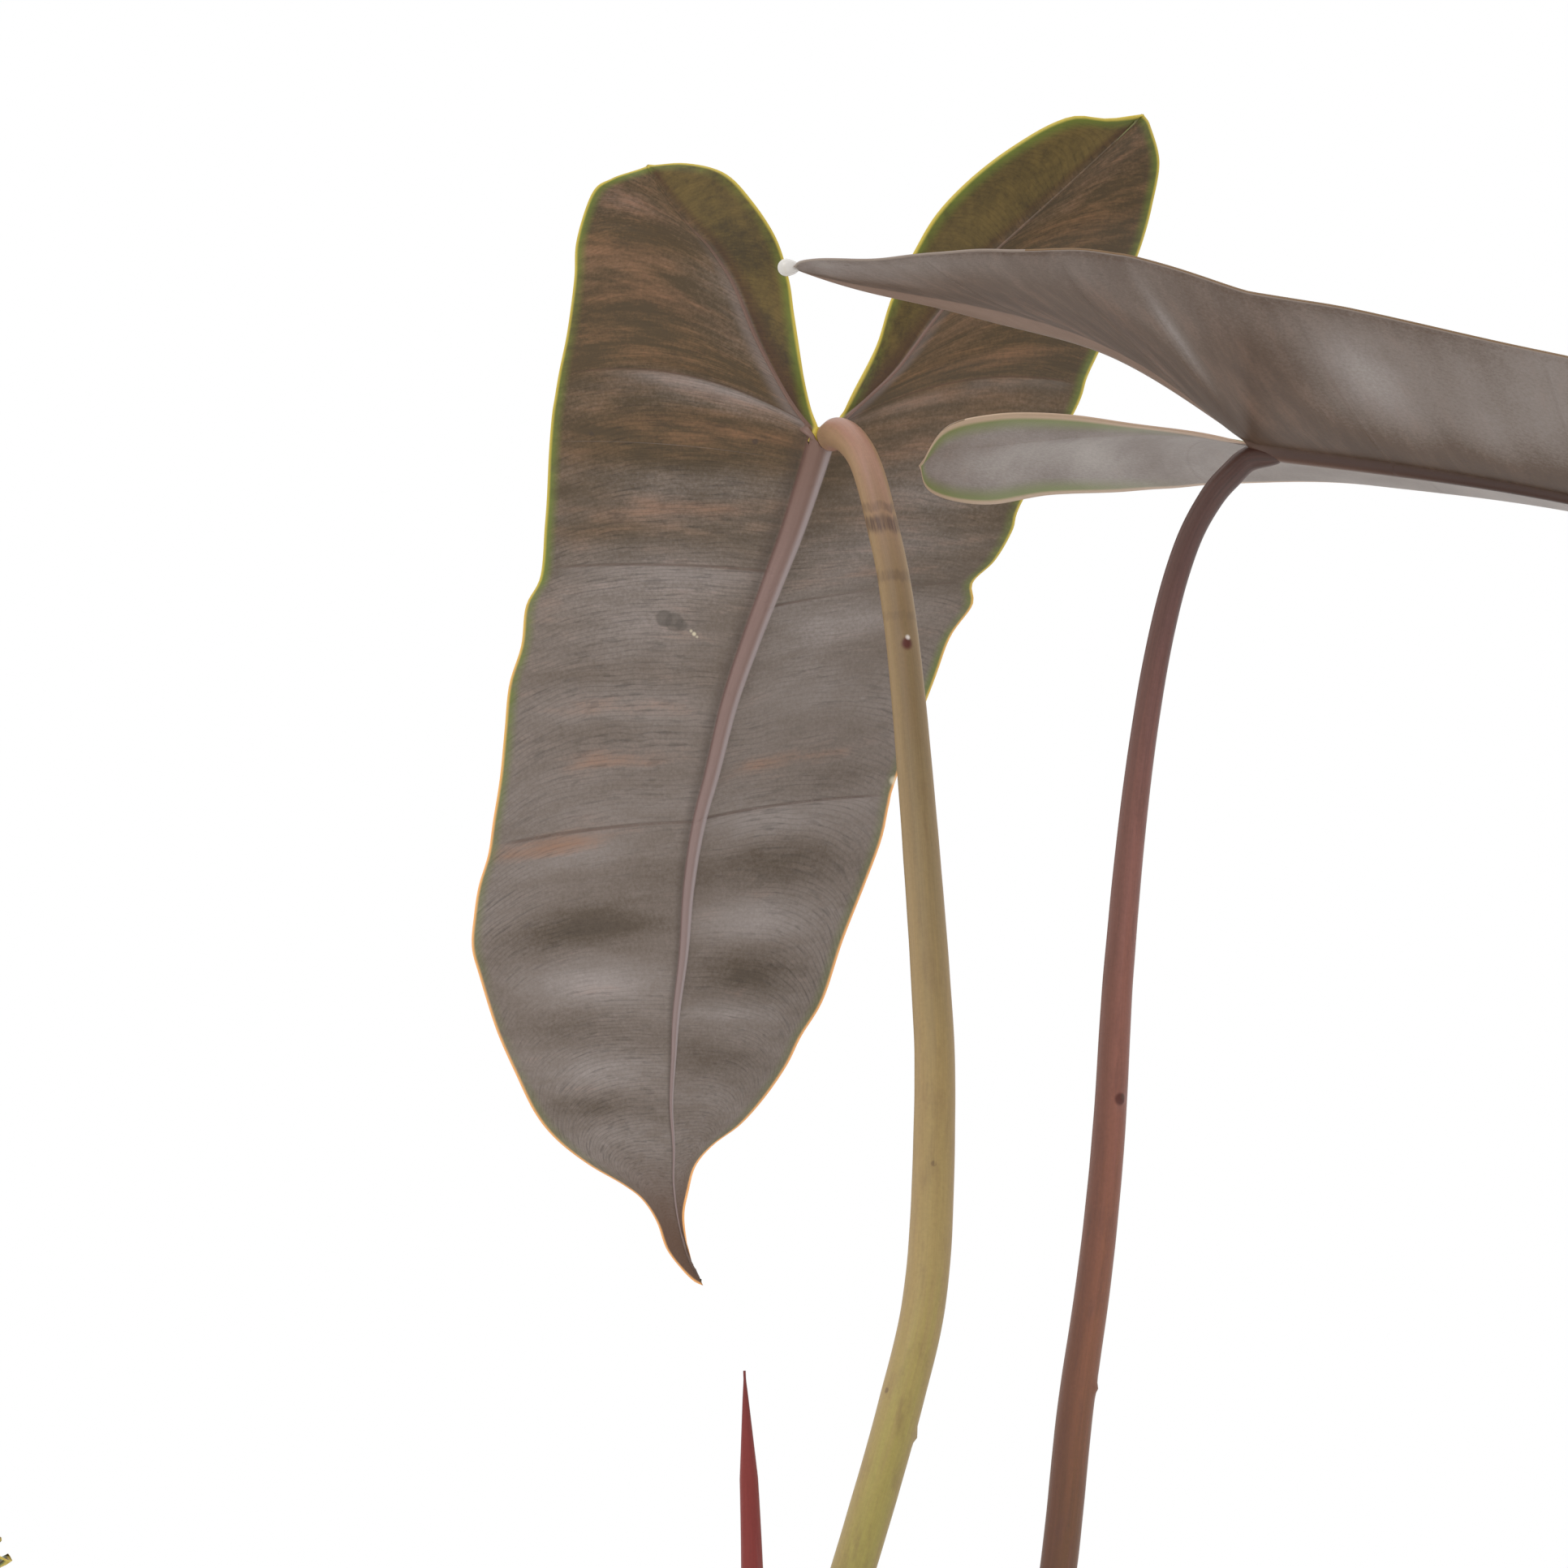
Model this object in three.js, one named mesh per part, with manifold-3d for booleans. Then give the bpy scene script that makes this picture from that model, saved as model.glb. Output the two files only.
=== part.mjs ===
// A philodendron hybrid with arrow-shaped leaves, in a plain round pot.
// Millimetres, +Z up. The origin is the middle of the pot's flat underside.
// Leaf 1 hangs at the back of the plant with its underside to -Y, and leaf 2 reaches to +X.

import * as THREE from 'three';
import Module from 'manifold-3d';
import { mergeVertices } from 'three/addons/utils/BufferGeometryUtils.js';

const wasm = await Module();
wasm.setup();

// Pot
const POT_HEIGHT = 116;
const POT_TOP_RADIUS = 66;
const POT_FOOT_RADIUS = 47;
const POT_WALL = 1.8;
const POT_FLOOR = 2.4;
const POT_RIM_HEIGHT = 13;
const POT_RIM_PROUD = 2.2;
const POT_SIDES = 48;
const DRAIN_HOLES = 6;
const DRAIN_RADIUS = 4;
const DRAIN_CIRCLE = 33;

// Soil
const GAP = 0.3;
const SOIL_LEVEL = 101;
const SOIL_LUMP = 1.3;
const SOIL_RINGS = 6;
const SOIL_SIDES = 32;
const SOIL_DOME = 1.5;
const CHIPS = 14;
const CHIP_THICKNESS = 4;

// Stem and roots
const STEM_RADIUS = 7;
const STEM_FOOT = 70;
const STEM_TOP = 171;
const NODE_SWELL = 0.9;
const ROOT_RADIUS = 1.7;

// Leaf blades
const BLADE = 1.0;
const RIDGE_DEPTH = 3;
const RIDGE_HALF_WIDTH = 2.6;
const RIDGE_AT_TIP = 0.22;
const RIDGE_ON_LOBE = 0.35;
const VEIN_BOW = 0.1;
const FOLD_SOFTNESS = 4;
const HUMP_REACH = 20;
const SIDE_PHASE = 2.1;
const MAIN_STEPS = 16;
const LOBE_STEPS = 8;
const OUTWARD_SHARES = [0.37, 0.7, 1];

// Stalks, the rolled new leaf and its sheath
const STALK_SIDES = 10;
const CLASP_SHARE = 0.12;
const SPIKE_RADIUS = 3.5;
const SPIKE_TIP_RADIUS = 0.25;
const SPIKE_PARALLEL_SHARE = 0.2;
const SPIKE_SHOULDER_RADIUS = 1.35;
const SPIKE_POINT_SHARE = 0.2;
const SHEATH_WALL = 0.9;
const SHEATH_HEIGHT = 50;
const SHEATH_HALF_TURN = 2.0;
const SHEATH_ROWS = 9;
const SHEATH_COLUMNS = 10;

const FINISH = {
  pot: [0x3b3a38, 0.7],
  soil: [0x3a2c22, 0.9],
  stem: [0x6f7a45, 0.6],
  olive_stalk: [0x9d8a58, 0.45],
  wine_stalk: [0x7a4c44, 0.4],
  blade: [0x7d7067, 0.45],
  new_leaf: [0x7a322d, 0.4],
  cataphyll: [0x8a5a48, 0.5],
};

const plant = new THREE.Group();

function addNode(name, geometry, finish) {
  const [color, roughness] = FINISH[finish];
  const material = new THREE.MeshStandardMaterial({ color, roughness, metalness: 0 });
  const mesh = new THREE.Mesh(geometry, material);
  mesh.name = name;
  plant.add(mesh);
}

// Solids

function toSolid(geometry) {
  const bare = geometry.clone();
  bare.deleteAttribute('normal');
  bare.deleteAttribute('uv');
  const merged = mergeVertices(bare, 1e-4);
  return new wasm.Manifold(new wasm.Mesh({
    numProp: 3,
    vertProperties: new Float32Array(merged.attributes.position.array),
    triVerts: new Uint32Array(merged.index.array),
  }));
}

function toGeometry(solid) {
  const mesh = solid.getMesh();
  const geometry = new THREE.BufferGeometry();
  geometry.setAttribute('position', new THREE.BufferAttribute(mesh.vertProperties, 3));
  geometry.setIndex(new THREE.BufferAttribute(mesh.triVerts, 1));
  return geometry;
}

function indexed(positions, triangles) {
  const geometry = new THREE.BufferGeometry();
  geometry.setAttribute('position', new THREE.Float32BufferAttribute(positions, 3));
  geometry.setIndex(triangles);
  return geometry;
}

// A curve through points, where getPoint counts whole points and not length.
function through(points) {
  return new THREE.CatmullRomCurve3(points.map((p) => new THREE.Vector3(...p)));
}

// A closed round bar along a curve. radiusAt takes the share of the length from the first point.
function bar(points, radiusAt, steps, sides = STALK_SIDES) {
  const curve = through(points);
  const frames = curve.computeFrenetFrames(steps, false);
  const positions = [];
  const triangles = [];
  for (let i = 0; i <= steps; i += 1) {
    const centre = curve.getPointAt(i / steps);
    const radius = radiusAt(i / steps);
    for (let k = 0; k < sides; k += 1) {
      const turn = (2 * Math.PI * k) / sides;
      const corner = centre.clone();
      corner.addScaledVector(frames.normals[i], radius * Math.cos(turn));
      corner.addScaledVector(frames.binormals[i], radius * Math.sin(turn));
      positions.push(...corner.toArray());
    }
  }
  for (let i = 0; i < steps; i += 1) {
    for (let k = 0; k < sides; k += 1) {
      const a = i * sides + k;
      const b = i * sides + ((k + 1) % sides);
      triangles.push(a, b, b + sides, a, b + sides, a + sides);
    }
  }
  const last = steps * sides;
  for (let k = 1; k < sides - 1; k += 1) {
    triangles.push(0, k + 1, k, last, last + k, last + k + 1);
  }
  return indexed(positions, triangles);
}

function mix(a, b, t) {
  return a + (b - a) * t;
}

function ease(low, high, x) {
  const t = Math.min(Math.max((x - low) / (high - low), 0), 1);
  return t * t * (3 - 2 * t);
}

// A fixed sequence of numbers from 0 to 1, so that each build is the same.
const DRAW_STEP = 16807;
const DRAW_RANGE = 2147483647;
function draws(seed) {
  let state = seed;
  return () => {
    state = (state * DRAW_STEP) % DRAW_RANGE;
    return state / DRAW_RANGE;
  };
}

// Leaf blades
//
// A blade is laid out flat, seen from above: a runs across it to the right, and b runs from the
// petiole's joint at 0, 0 to the tip, so the two lobes have a negative b. Each row pairs a point
// of the midrib with the point of the margin that its side vein runs to. Past the joint, the rows
// pair the lobe's own nerve with the outer margin, and with the inner margin along the notch.

const RIBS = [1, 0.955, 0.91, 0.86, 0.79, 0.71, 0.62, 0.52, 0.42, 0.32, 0.22, 0.12, 0];
const MARGIN = [
  [0, 1], [0.016, 0.96], [0.034, 0.925], [0.075, 0.88], [0.145, 0.815], [0.205, 0.73],
  [0.238, 0.63], [0.252, 0.525], [0.258, 0.41], [0.264, 0.295], [0.274, 0.18], [0.287, 0.06],
  [0.298, -0.07],
];
const LOBE_MARGIN = [
  [0.304, -0.15], [0.307, -0.22], [0.303, -0.29], [0.288, -0.355], [0.257, -0.405], [0.212, -0.43],
];
const LOBE_NERVE = [
  [0.042, -0.075], [0.085, -0.155], [0.122, -0.235], [0.157, -0.315], [0.187, -0.385],
  [0.212, -0.43],
];
const LOBE_NOTCH = [
  [0.018, -0.065], [0.034, -0.14], [0.051, -0.215], [0.075, -0.295], [0.116, -0.375],
  [0.212, -0.43],
];

// The outer margin of a lobe that ends broad and blunt, and where its notch edge turns to the end.
const BLUNT_LOBE_MARGIN = [
  [0.3, -0.15], [0.288, -0.22], [0.29, -0.295], [0.31, -0.37], [0.302, -0.43], [0.24, -0.426],
];
const BLUNT_NOTCH_KNEE = [0.132, -0.366];

// The common leaf at its own length, width and lobe length, with a midrib that sways a little.
function commonOutline({ length, width, lobe, sway, bluntSide }) {
  const bend = (b) => sway * length * Math.sin(Math.PI * Math.max(b, 0));
  const place = (side) => ([a, b]) => [
    side * a * length * width + bend(b),
    b * length * (b < 0 ? lobe : 1),
  ];
  const half = (side) => {
    const lobeMargin = side === bluntSide ? BLUNT_LOBE_MARGIN : LOBE_MARGIN;
    const knee = side === bluntSide ? BLUNT_NOTCH_KNEE : LOBE_NOTCH.at(-2);
    const end = lobeMargin.at(-1);
    return {
      outer: [...MARGIN, ...lobeMargin].map(place(side)),
      nerve: [...LOBE_NERVE.slice(0, -1), end].map(place(side)),
      notch: [...LOBE_NOTCH.slice(0, -2), knee, end].map(place(side)),
    };
  };
  const midrib = RIBS.map((b) => place(1)([0, b]));
  return { midrib, left: half(-1), right: half(1), notchLean: 0 };
}

// How far the midrib, or past the joint the middle of the notch, lies from the straight axis.
function middleAt({ midrib, notchLean }, b) {
  if (b <= 0) {
    return -notchLean * b;
  }
  const next = midrib.findLastIndex((point) => point[1] >= b);
  if (next < 0) {
    return midrib[0][0];
  }
  const [[a0, b0], [a1, b1]] = [midrib[next], midrib[next + 1]];
  return mix(a0, a1, (b - b0) / (b1 - b0));
}

// The heights of a blade over its flat outline, from the leaf's own habit: tilt and arch bend it
// along the midrib, lift and hump raise the lobes, and each half folds up or down.
function heightOver(leaf, a, b, row, share) {
  const middle = middleAt(leaf.outline, b);
  const side = a > middle ? 1 : 0;
  const along = b / leaf.length;
  const across = Math.abs(a - middle);
  const lobeShare = ease(0.06, -0.45, along);
  const fold = mix(leaf.fold[side], leaf.lobeFold[side], lobeShare);
  const soft = Math.hypot(across, FOLD_SOFTNESS) - FOLD_SOFTNESS;
  const bent = along > 0 ? -leaf.arch * along ** leaf.archPower : leaf.lift * along * along;
  const risen = Math.max(0.2 * across - b, 0) / (HUMP_REACH + 0.3 * across);
  const humped = leaf.hump[side] * (1 - Math.exp(-(risen ** 1.4)));
  const wave = Math.sin(row * leaf.waves + leaf.phase + SIDE_PHASE * side);
  return leaf.tilt * b + bent * leaf.length + humped + fold * soft
    + leaf.ripple * wave * share * share;
}

function bladeGeometry(leaf) {
  const { outline, frame } = leaf;
  const flat = [];
  const lift = [];
  const known = new Map();
  const mainRows = outline.midrib.length - 1;
  const midrib = through(outline.midrib.map(([a, b]) => [a, b, 0]));

  function vertex(point, row, share, ridge) {
    const key = `${Math.round(point.x * 1000)} ${Math.round(point.y * 1000)}`;
    if (!known.has(key)) {
      known.set(key, flat.length);
      flat.push(point);
      lift.push([heightOver(leaf, point.x, point.y, row, share), ridge]);
    }
    return known.get(key);
  }

  // The ridge on the underside swells just past the joint and thins to the tip and the lobe ends.
  const ridgeSize = (row) => (row <= 1 ? mix(RIDGE_AT_TIP, 1, row) * ease(1, 0.9, row)
    : RIDGE_ON_LOBE * ease(1, 1.12, row) * (2 - row));

  const faces = [];
  function patch(rows, shares, place) {
    const grid = rows.map((row) => shares(row).map((share) => place(row, share)));
    for (let i = 0; i + 1 < grid.length; i += 1) {
      for (let k = 0; k + 1 < grid[i].length; k += 1) {
        const corners = [grid[i][k], grid[i + 1][k], grid[i + 1][k + 1], grid[i][k + 1]];
        faces.push([corners[0], corners[1], corners[2]], [corners[0], corners[2], corners[3]]);
      }
    }
  }

  const rowsMain = Array.from({ length: MAIN_STEPS + 1 }, (_, i) => i / MAIN_STEPS);
  const rowsLobe = Array.from({ length: LOBE_STEPS + 1 }, (_, i) => 1 + i / LOBE_STEPS);
  for (const half of [outline.left, outline.right]) {
    const lobeRows = half.nerve.length;
    const joint = outline.midrib[mainRows];
    const outer = through(half.outer.map(([a, b]) => [a, b, 0]));
    const nerve = through([joint, ...half.nerve].map(([a, b]) => [a, b, 0]));
    const notch = through([joint, ...half.notch].map(([a, b]) => [a, b, 0]));
    const rootAt = (row) => (row <= 1 ? midrib.getPoint(row) : nerve.getPoint(row - 1));
    const marginAt = (row) => {
      const index = row <= 1 ? row * mainRows : mainRows + (row - 1) * lobeRows;
      return outer.getPoint(index / (mainRows + lobeRows));
    };
    const between = (start, end, row, share) => {
      const point = start.clone().lerp(end, share);
      point.y -= VEIN_BOW * share * (1 - share) * start.distanceTo(end) * (row <= 1 ? 1 : 0);
      return vertex(point, row, share, share === 0 ? RIDGE_DEPTH * ridgeSize(row) : 0);
    };
    const foot = (start, end, row) => {
      const reach = start.distanceTo(end);
      return Math.min((RIDGE_HALF_WIDTH * Math.max(ridgeSize(row), 0.25)) / reach, 0.3) || 0.3;
    };
    const outward = (row) => [0, foot(rootAt(row), marginAt(row), row), ...OUTWARD_SHARES];
    patch([...rowsMain, ...rowsLobe.slice(1)], outward, (row, share) => (
      between(rootAt(row), marginAt(row), row, share)));
    const inward = (row) => [0, foot(rootAt(row), notch.getPoint(row - 1), row), 1];
    patch(rowsLobe, inward, (row, share) => (
      between(rootAt(row), notch.getPoint(row - 1), row, share)));
  }

  return thickened(flat, faces, (n, under) => {
    const [height, ridge] = lift[n];
    const place = frame.joint.clone().addScaledVector(frame.across, flat[n].x);
    place.addScaledVector(frame.along, flat[n].y);
    return place.addScaledVector(frame.up, under ? height - BLADE / 2 - ridge : height + BLADE / 2);
  });
}

// Two faces, split into triangles alike, and a wall along the margin between them. flat holds each
// point's place in the flat layout, and place gives its place in space on either face.
function thickened(flat, faces, place) {
  const count = flat.length;
  const positions = [false, true].flatMap((under) => (
    flat.flatMap((_, n) => place(n, under).toArray())));
  const upper = [];
  for (const [p, q, r] of faces) {
    if (p === q || q === r || r === p) {
      continue;
    }
    const [u, v, w] = [flat[p], flat[q], flat[r]];
    const turn = (v.x - u.x) * (w.y - u.y) - (v.y - u.y) * (w.x - u.x);
    upper.push(turn > 0 ? [p, q, r] : [p, r, q]);
  }
  const edges = new Set(upper.flatMap(([p, q, r]) => [`${p} ${q}`, `${q} ${r}`, `${r} ${p}`]));
  const triangles = upper.flatMap(([p, q, r]) => [p, q, r, p + count, r + count, q + count]);
  for (const edge of edges) {
    const [p, q] = edge.split(' ').map(Number);
    if (!edges.has(`${q} ${p}`)) {
      triangles.push(q, p, p + count, q, p + count, q + count);
    }
  }
  return indexed(positions, triangles);
}

// Where a blade hangs: its joint, the heading of its tip round +Z from +X, the angle that the
// tip points down, and the roll about the midrib, in degrees.
function bladeFrame({ joint, heading, droop, roll = 0 }) {
  const rad = THREE.MathUtils.degToRad;
  const along = new THREE.Vector3(
    Math.cos(rad(heading)) * Math.cos(rad(droop)),
    Math.sin(rad(heading)) * Math.cos(rad(droop)),
    -Math.sin(rad(droop)),
  );
  const level = new THREE.Vector3(0, 0, 1);
  const across = along.clone().cross(level).normalize().applyAxisAngle(along, rad(roll));
  const up = across.clone().cross(along);
  return { joint: new THREE.Vector3(...joint), across, along, up };
}

// The leaf in focus has an outline of its own, in millimetres.
const FIRST_OUTLINE = {
  notchLean: 0.14,
  midrib: [
    [-24, 171.5], [-27, 166], [-29, 158.5], [-30, 151], [-30, 143.5], [-30.5, 134.5],
    [-30, 124.5], [-29.5, 116], [-28, 104], [-27, 91], [-25, 78], [-22, 66.5], [-18.5, 52.5],
    [-14, 39.5], [-10, 29], [-6, 18.5], [-2.5, 8], [0, 0],
  ],
  left: {
    outer: [
      [-24, 171.5], [-30.5, 165], [-34.5, 157], [-41, 151], [-51, 144.5], [-58, 137],
      [-63.5, 126], [-67.5, 118.5], [-70.5, 107.5], [-71, 96.5], [-67.5, 83.5], [-65.5, 69],
      [-64, 52], [-61, 38.5], [-57.5, 27.5], [-56, 17.5], [-55.5, 5], [-53, -8.5],
      [-52, -15], [-51.5, -22], [-49.5, -30.5], [-49, -39], [-47, -47], [-43.5, -50.5],
      [-39, -52.5], [-34.5, -54],
    ],
    nerve: [
      [-4.5, -5], [-8, -10.5], [-13, -20], [-17.5, -30.5], [-22, -37.5], [-26.5, -42.5],
      [-31, -48], [-34.5, -54],
    ],
    notch: [
      [-1.5, -6], [-3.5, -11.5], [-4.5, -19.5], [-6.5, -30.5], [-9.5, -39.5], [-15, -48],
      [-23, -54], [-34.5, -54],
    ],
  },
  right: {
    outer: [
      [-24, 171.5], [-27, 164], [-27.5, 156], [-25.5, 147.5], [-19.5, 141], [-12.5, 134.5],
      [-6.5, 125.5], [-2, 117.5], [3, 105.5], [8.5, 91], [14.5, 72.5], [18.5, 59.5],
      [24.5, 44], [29.5, 32.5], [34, 24.5], [39, 18], [43, 8.5], [52, -7.5],
      [54.5, -14], [56.5, -19], [60.5, -28.5], [64, -38], [66, -46], [67.5, -55],
      [66.5, -62], [62.5, -64.5],
    ],
    nerve: [
      [4.5, -4], [10, -9], [15.5, -14.5], [23, -24.5], [31.5, -34.5], [39.5, -42],
      [50, -51.5], [62.5, -64.5],
    ],
    notch: [
      [4, -4.5], [7, -10.5], [11, -18.5], [15.5, -31.5], [21, -42], [31.5, -53],
      [45, -62.5], [62.5, -64.5],
    ],
  },
};

// Each leaf: where its blade hangs, its habit, and the middle line of its stalk from the stem up.
const HABIT = {
  tilt: 0, arch: 0.22, archPower: 2, lift: 0.12, hump: [0, 0], fold: [0.22, 0.22],
  lobeFold: [0.15, 0.15], ripple: 1.4, waves: 17, phase: 0, width: 1, lobe: 1, sway: 0, seat: 0.85,
  aside: 0, bluntSide: 0,
};
const LEAVES = [
  {
    length: 171, tilt: 0.33, arch: 0.2, lift: 0.25, fold: [0.18, 0.4], lobeFold: [0.1, 0.28],
    ripple: 1, seat: 0.4, aside: 2,
    hang: { joint: [10.5, 78, 466.8], heading: 90, droop: 86 },
    outline: FIRST_OUTLINE,
    stalk: [
      [-2, 1, 158], [-3, 8, 168], [-2, 12.5, 188], [6, 15, 212], [16.3, 18, 244.6],
      [25, 21, 274.4], [30.3, 25, 298.4], [32, 30, 332.7], [31.3, 34, 356.7],
      [27.8, 42, 405.4], [25.1, 47, 431.7], [22.1, 51, 447.5], [19.3, 55, 458.5],
      [16.5, 61, 464.2], [13.8, 68, 466.8],
    ],
    thick: [5.6, 4.3, 3],
    stalkFinish: 'olive_stalk',
  },
  {
    length: 180, arch: 0.25, archPower: 3, lift: 0.09, hump: [2.2, 13.5], fold: [-0.01, 0.47],
    lobeFold: [-0.36, 0.05], ripple: 0.2, phase: 1, lobe: 1.03, bluntSide: -1,
    hang: { joint: [88.8, -48, 450.4], heading: -20, droop: 9.4 },
    stalk: [
      [-1, 1, 148], [8, -3, 154], [22, -11, 172], [38, -21, 200], [49, -27.5, 226],
      [53, -30, 246.8], [56, -33, 275.3], [59.5, -36, 300.2], [62, -38, 325.2],
      [63.8, -40, 354.6], [66.6, -42, 384], [69.6, -43, 405.4], [72.8, -44, 421.2],
      [76.5, -45, 433.1], [80.6, -46, 440.8], [84.2, -47, 445],
    ],
    thick: [4.8, 3.4, 2.2],
    stalkFinish: 'wine_stalk',
  },
  {
    length: 140, phase: 2, sway: 0.02, width: 1.04, fold: [0.26, 0.2],
    hang: { joint: [-191.5, -20, 217], heading: 188, droop: 26 },
    stalk: [
      [-1, 1, 140], [-9, 0, 145], [-40, -6, 169], [-90, -12, 196], [-140, -17, 212],
      [-174, -19.3, 215.5],
    ],
    thick: [4.6, 3.1, 2.3],
    stalkFinish: 'wine_stalk',
  },
  {
    length: 148, phase: 3.3, sway: -0.02, width: 1.06, fold: [0.16, 0.3],
    hang: { joint: [88, 102, 188], heading: 50, droop: 30 },
    stalk: [
      [-1, 2, 131], [5, 8, 136], [28, 36, 164], [58, 70, 185], [76, 90, 188],
    ],
    thick: [4.6, 3.2, 2.3],
    stalkFinish: 'olive_stalk',
  },
  {
    length: 136, phase: 4.1, sway: 0.025, width: 1.08, fold: [0.28, 0.18], arch: 0.3,
    hang: { joint: [8, -122, 178], heading: -86, droop: 30 },
    stalk: [
      [-1, 1, 123], [-1, -7, 128], [1, -38, 154], [4, -82, 176], [7, -106, 178.5],
    ],
    thick: [4.4, 3, 2.2],
    stalkFinish: 'olive_stalk',
  },
  {
    length: 128, phase: 5.2, sway: -0.015, width: 1.1, fold: [0.2, 0.3], lobe: 0.95,
    hang: { joint: [-90, 84, 168], heading: 137, droop: 28 },
    stalk: [
      [-1, 2, 115], [-8, 8, 120], [-30, 29, 144], [-62, 58, 164], [-79, 73.6, 167],
    ],
    thick: [4.2, 2.9, 2.1],
    stalkFinish: 'olive_stalk',
  },
  {
    length: 108, phase: 0.6, sway: 0.02, width: 1.12, fold: [0.3, 0.2], lobe: 0.92,
    hang: { joint: [106, -15, 146], heading: -8, droop: 22 },
    stalk: [
      [0, 2, 108.5], [9, 1, 112], [38, -4, 131], [74, -10, 144], [93, -13, 145.5],
    ],
    thick: [3.8, 2.6, 2],
    stalkFinish: 'olive_stalk',
  },
];

// A stalk ends just under its blade's joint, its edge clear of the blade's underside.
function stalkEnd({ joint, across, along, up }, radius, { seat, aside }) {
  const end = joint.clone().addScaledVector(up, -(BLADE / 2 + GAP + seat * radius));
  return end.addScaledVector(along, -0.5).addScaledVector(across, aside).toArray();
}

// Stem with its nodes and aerial roots, as one grown piece. grow makes it fatter all round.
const NODES = [158, 148, 140, 131, 123, 115, 108.5];
const ROOTS = [
  [[0, 1, 129], [-8, -9, 125], [-14, -19, 112], [-16, -23, 98], [-17, -24, 86]],
  [[0, 3, 119], [-1, 12, 117], [0, 22, 108], [1, 26, 97], [1, 28, 87]],
  [[0, 1, 139], [8, -7, 136.5], [11, -10.5, 130]],
];

function stemSolid(grow) {
  const axis = [[0, 3, STEM_FOOT - grow], [0, 2.5, 105], [-1, 1, 140], [-2, 0, STEM_TOP + grow]];
  const length = STEM_TOP - STEM_FOOT;
  const radiusAt = (share) => {
    const z = STEM_FOOT + share * length;
    const swell = NODES.reduce((sum, node) => sum + Math.exp(-(((z - node) / 2) ** 2)), 0);
    return mix(STEM_RADIUS, STEM_RADIUS - 1.4, share) + NODE_SWELL * swell + grow;
  };
  let solid = toSolid(bar(axis, radiusAt, 36, 12));
  for (const root of ROOTS) {
    const path = root.map(([x, y, z], i) => [x, y, z - (i === root.length - 1 ? grow : 0)]);
    const thin = (share) => mix(ROOT_RADIUS, ROOT_RADIUS * 0.75, share) + grow;
    solid = solid.add(toSolid(bar(path, thin, 10, 6)));
  }
  return solid;
}

const stem = stemSolid(0);
const stemWithGap = stemSolid(GAP);
addNode('stem', toGeometry(stem), 'stem');

LEAVES.forEach((entry, n) => {
  const leaf = { ...HABIT, ...entry };
  leaf.outline = entry.outline ?? commonOutline(leaf);
  leaf.frame = bladeFrame(leaf.hang);
  addNode(`blade_${n + 1}`, bladeGeometry(leaf), 'blade');

  // A stalk is widest where it clasps the stem, and slims towards its blade.
  const [foot, middle, top] = leaf.thick;
  const radiusAt = (share) => (share < CLASP_SHARE
    ? mix(foot, middle, ease(0, CLASP_SHARE, share))
    : mix(middle, top, ease(0.35, 1, share)));
  const line = [...leaf.stalk, stalkEnd(leaf.frame, top, leaf)];
  const stalk = toSolid(bar(line, radiusAt, line.length * 2));
  addNode(`petiole_${n + 1}`, toGeometry(stalk.subtract(stemWithGap)), leaf.stalkFinish);
});

// The rolled new leaf stands on the stem's tip, with its sheath leaf round its foot.
const SPIKE = [[-2, -0.4, STEM_TOP + GAP], [-2.3, -0.3, 205], [-2.9, 0, 245], [-4.4, 0, 282]];
function spikeRadius(share) {
  const thinned = Math.max(share - SPIKE_PARALLEL_SHARE, 0) / (1 - SPIKE_PARALLEL_SHARE);
  const closing = Math.min((1 - share) / SPIKE_POINT_SHARE, 1) ** 0.8;
  const radius = mix(SPIKE_RADIUS, SPIKE_SHOULDER_RADIUS, thinned ** 0.85) * closing;
  return Math.max(radius, SPIKE_TIP_RADIUS);
}
addNode('new_leaf', bar(SPIKE, spikeRadius, 20, 8), 'new_leaf');

// The sheath is open at its back, narrows to its tip and leans in against the spike.
function sheathGeometry() {
  const [middleX, middleY, foot] = SPIKE[0];
  const perRow = SHEATH_COLUMNS + 1;
  const flat = [];
  const faces = [];
  for (let row = 0; row <= SHEATH_ROWS; row += 1) {
    for (let column = 0; column <= SHEATH_COLUMNS; column += 1) {
      const rise = (0.985 * row) / SHEATH_ROWS;
      const reach = SHEATH_HALF_TURN * Math.sqrt(1 - rise ** 2.4);
      flat.push(new THREE.Vector2(reach * ((2 * column) / SHEATH_COLUMNS - 1), rise));
    }
  }
  for (let row = 0; row < SHEATH_ROWS; row += 1) {
    for (let column = 0; column < SHEATH_COLUMNS; column += 1) {
      const p = row * perRow + column;
      faces.push([p, p + 1, p + 1 + perRow], [p, p + 1 + perRow, p + perRow]);
    }
  }
  return thickened(flat, faces, (n, under) => {
    const { x: turn, y: rise } = flat[n];
    const radius = SPIKE_RADIUS + 2 * GAP + (under ? 0 : SHEATH_WALL) - 0.4 * rise;
    const facing = turn - Math.PI / 2;
    return new THREE.Vector3(
      middleX - 0.15 + radius * Math.cos(facing),
      middleY + radius * Math.sin(facing),
      foot + rise * SHEATH_HEIGHT,
    );
  });
}
addNode('cataphyll', sheathGeometry(), 'cataphyll');

// Pot
function potRadius(z) {
  return mix(POT_FOOT_RADIUS, POT_TOP_RADIUS - POT_RIM_PROUD, z / POT_HEIGHT);
}

function turned(profile, sides) {
  const lathe = new THREE.LatheGeometry(profile.map(([r, z]) => new THREE.Vector2(r, z)), sides);
  return toSolid(lathe.rotateX(Math.PI / 2));
}

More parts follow.
